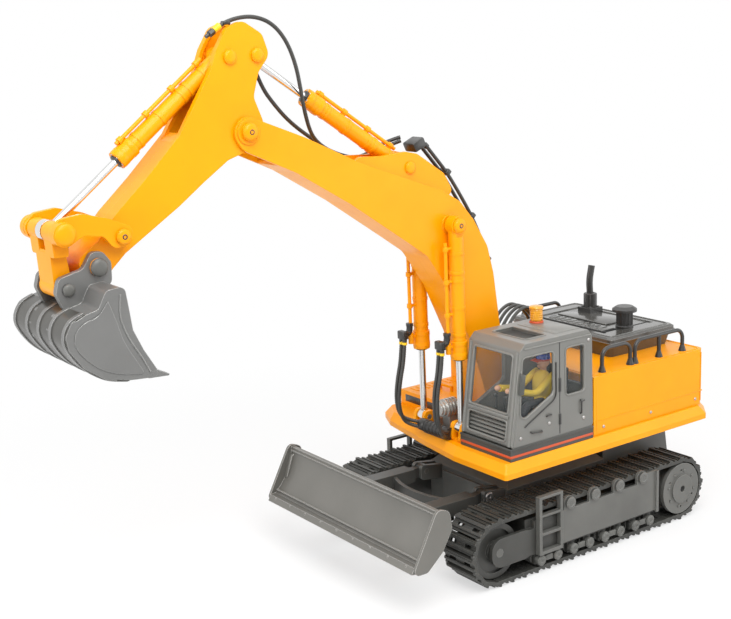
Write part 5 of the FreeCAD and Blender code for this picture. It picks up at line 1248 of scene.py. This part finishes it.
def makePins(plan):
    groups = (("boomHeads", "boom", "yellowPaint", "body_yellow"),
              ("stickHeads", "stick", "yellowPaint", "body_yellow"),
              ("bucketHeads", "bucket", "panelPlastic", "bucket_grey"),
              ("tipHeads", "rocker", "yellowPaint", "body_yellow"),
              ("boomScrews", "boom", "blackPlastic", "steel"),
              ("stickScrews", "stick", "blackPlastic", "steel"))
    for label, body, finish, slot in groups:
        bm = bmesh.new()
        for side in (1, -1):
            for x, y, z, radius, *height in plan[label]:
                if height:
                    addDome(bm, x, side * y, z, side, radius, height[0])
                else:
                    addSocketScrew(bm, x, side * y, z, side, radius)
        finishPiece(label, bm, finish, body)


makePins(pinPlan)
print("pins ready")


bucketPlan = {
    "half": 40.0,
    "back": [(359.4, 230.6), (367.5, 226.8), (371.6, 219.5), (370.3, 211.7), (362.2, 200.3), (349.9, 191.6),
             (335.9, 188.0)],
    "ribs": (-36.5, -17.5, 0.0, 17.5, 36.5), "adapters": 5,
    "adapter": [(314.0, 185.2), (331.0, 186.3), (331.0, 190.0), (321.0, 192.0), (317.0, 191.0)],
    "crease": [(337.6, 239.0), (338.6, 226.0), (334.4, 213.0), (327.4, 200.5), (322.4, 190.5)],
    "plate": [(345.5, 236.5), (352.5, 228.6), (360.0, 226.5), (366.0, 221.6), (367.0, 213.0), (358.4, 202.0),
              (347.0, 194.8), (333.0, 191.2), (327.0, 191.0), (330.6, 198.5), (337.6, 211.5), (341.6, 225.0)],
}


def offsetLine(points, distance):
    # the same line of x, z points moved sideways
    moved = []
    for i, point in enumerate(points):
        before, after = points[max(i - 1, 0)], points[min(i + 1, len(points) - 1)]
        dx, dz = after[0] - before[0], after[1] - before[1]
        size = math.hypot(dx, dz)
        moved.append((point[0] - dz / size * distance, point[1] + dx / size * distance))
    return moved


def smoothLine(points, steps=6):
    # Catmull-Rom through the points
    line = []
    for i in range(len(points) - 1):
        a, b, c, d = (Vector(points[max(0, min(len(points) - 1, i + k))]) for k in (-1, 0, 1, 2))
        for k in range(steps):
            t = k / steps
            line.append(tuple(0.5 * ((2 * b) + (c - a) * t + (2 * a - 5 * b + 4 * c - d) * t * t
                                     + (3 * b - a - 3 * c + d) * t ** 3)))
    line.append(tuple(points[-1]))
    return line


def makeBucketTrim(plan):
    half = plan["half"]
    back = smoothLine(plan["back"])
    skin = bmesh.new()                                # rounded wrapper over the heel, with its wear ribs
    addSlab(skin, offsetLine(back, 0.55) + list(reversed(offsetLine(back, -0.5))), -half + 0.5, half - 0.5)
    finishPiece("bucketWrapper", skin, "bucketBand", "bucket")
    ribs = bmesh.new()
    for y in plan["ribs"]:
        addSlab(ribs, offsetLine(back, 1.25) + list(reversed(offsetLine(back, -0.4))), y - 1.6, y + 1.6, 0.25)
    finishPiece("bucketRibs", ribs, "bucketMetal", "bucket")
    plates = bmesh.new()
    for side in (1, -1):
        a, b = sorted((side * (half - 0.5), side * (half + 0.55)))
        addSlab(plates, smoothLine(plan["plate"] + plan["plate"][:1], 4)[:-1], a, b, 0.3)
        path = [at(x, side * (half + 0.05), z) for x, z in smoothLine(plan["crease"], 4)]
        addTube(plates, path, 0.65, 8)
    for i in range(plan["adapters"]):                 # adapters that carry the teeth
        y = -half + 4 + i * (2 * half - 15) / (plan["adapters"] - 1)
        addSlab(plates, plan["adapter"], y + 0.6, y + 6.4, 0.5)
    finishPiece("bucketPlates", plates, "bucketMetal", "bucket")


bladePlan = {
    "half": 86.0, "rims": ((69.5, 150.6), (42.0, 165.8)), "bolts": 9, "boltSpan": 160, "boltX": 170.8,
    "boltZ": 37.2,
    "corner": [(148.0, 69.0), (152.4, 66.0), (158.0, 50.0), (148.0, 48.0)], "pivot": (65.6, 42.2, 47.3),
}


def makeBladeTrim(plan):
    half = plan["half"]
    bm = bmesh.new()
    for side in (1, -1):                          # stiffening corners behind the end plates
        a, b = sorted((side * (half - 2.0), side * (half + 2.5)))
        addSlab(bm, plan["corner"], a, b, 0.5)
    for i in range(plan["bolts"]):                    # bolts of the cutting edge
        y = -plan["boltSpan"] / 2 + i * plan["boltSpan"] / (plan["bolts"] - 1)
        addLathe(bm, [(1.2, -0.8), (1.2, 0.4), (0.8, 0.8), (0, 0.8)], (plan["boltX"], y, plan["boltZ"]),
                 (0.95, 0, 0.2), 12)
    for z, x in plan["rims"]:
        addTube(bm, [at(x, -half, z), at(x, half, z)], 0.75, 8)
    finishPiece("bladeTrim", bm, "bladeMetal", "blade")
    bm = bmesh.new()
    x, y, z = plan["pivot"]
    for side in (1, -1):
        addLathe(bm, [(3.6, -0.5), (3.6, 0.4), (2.9, 0.9), (1.0, 0.9), (0.8, 0.5), (0, 0.5)],
                 (x, side * y, z), (0, side, 0), 24)
    finishPiece("bladePins", bm, "steelPin", "undercarriage")


makeBucketTrim(bucketPlan)
makeBladeTrim(bladePlan)
print("bucket and blade ready")
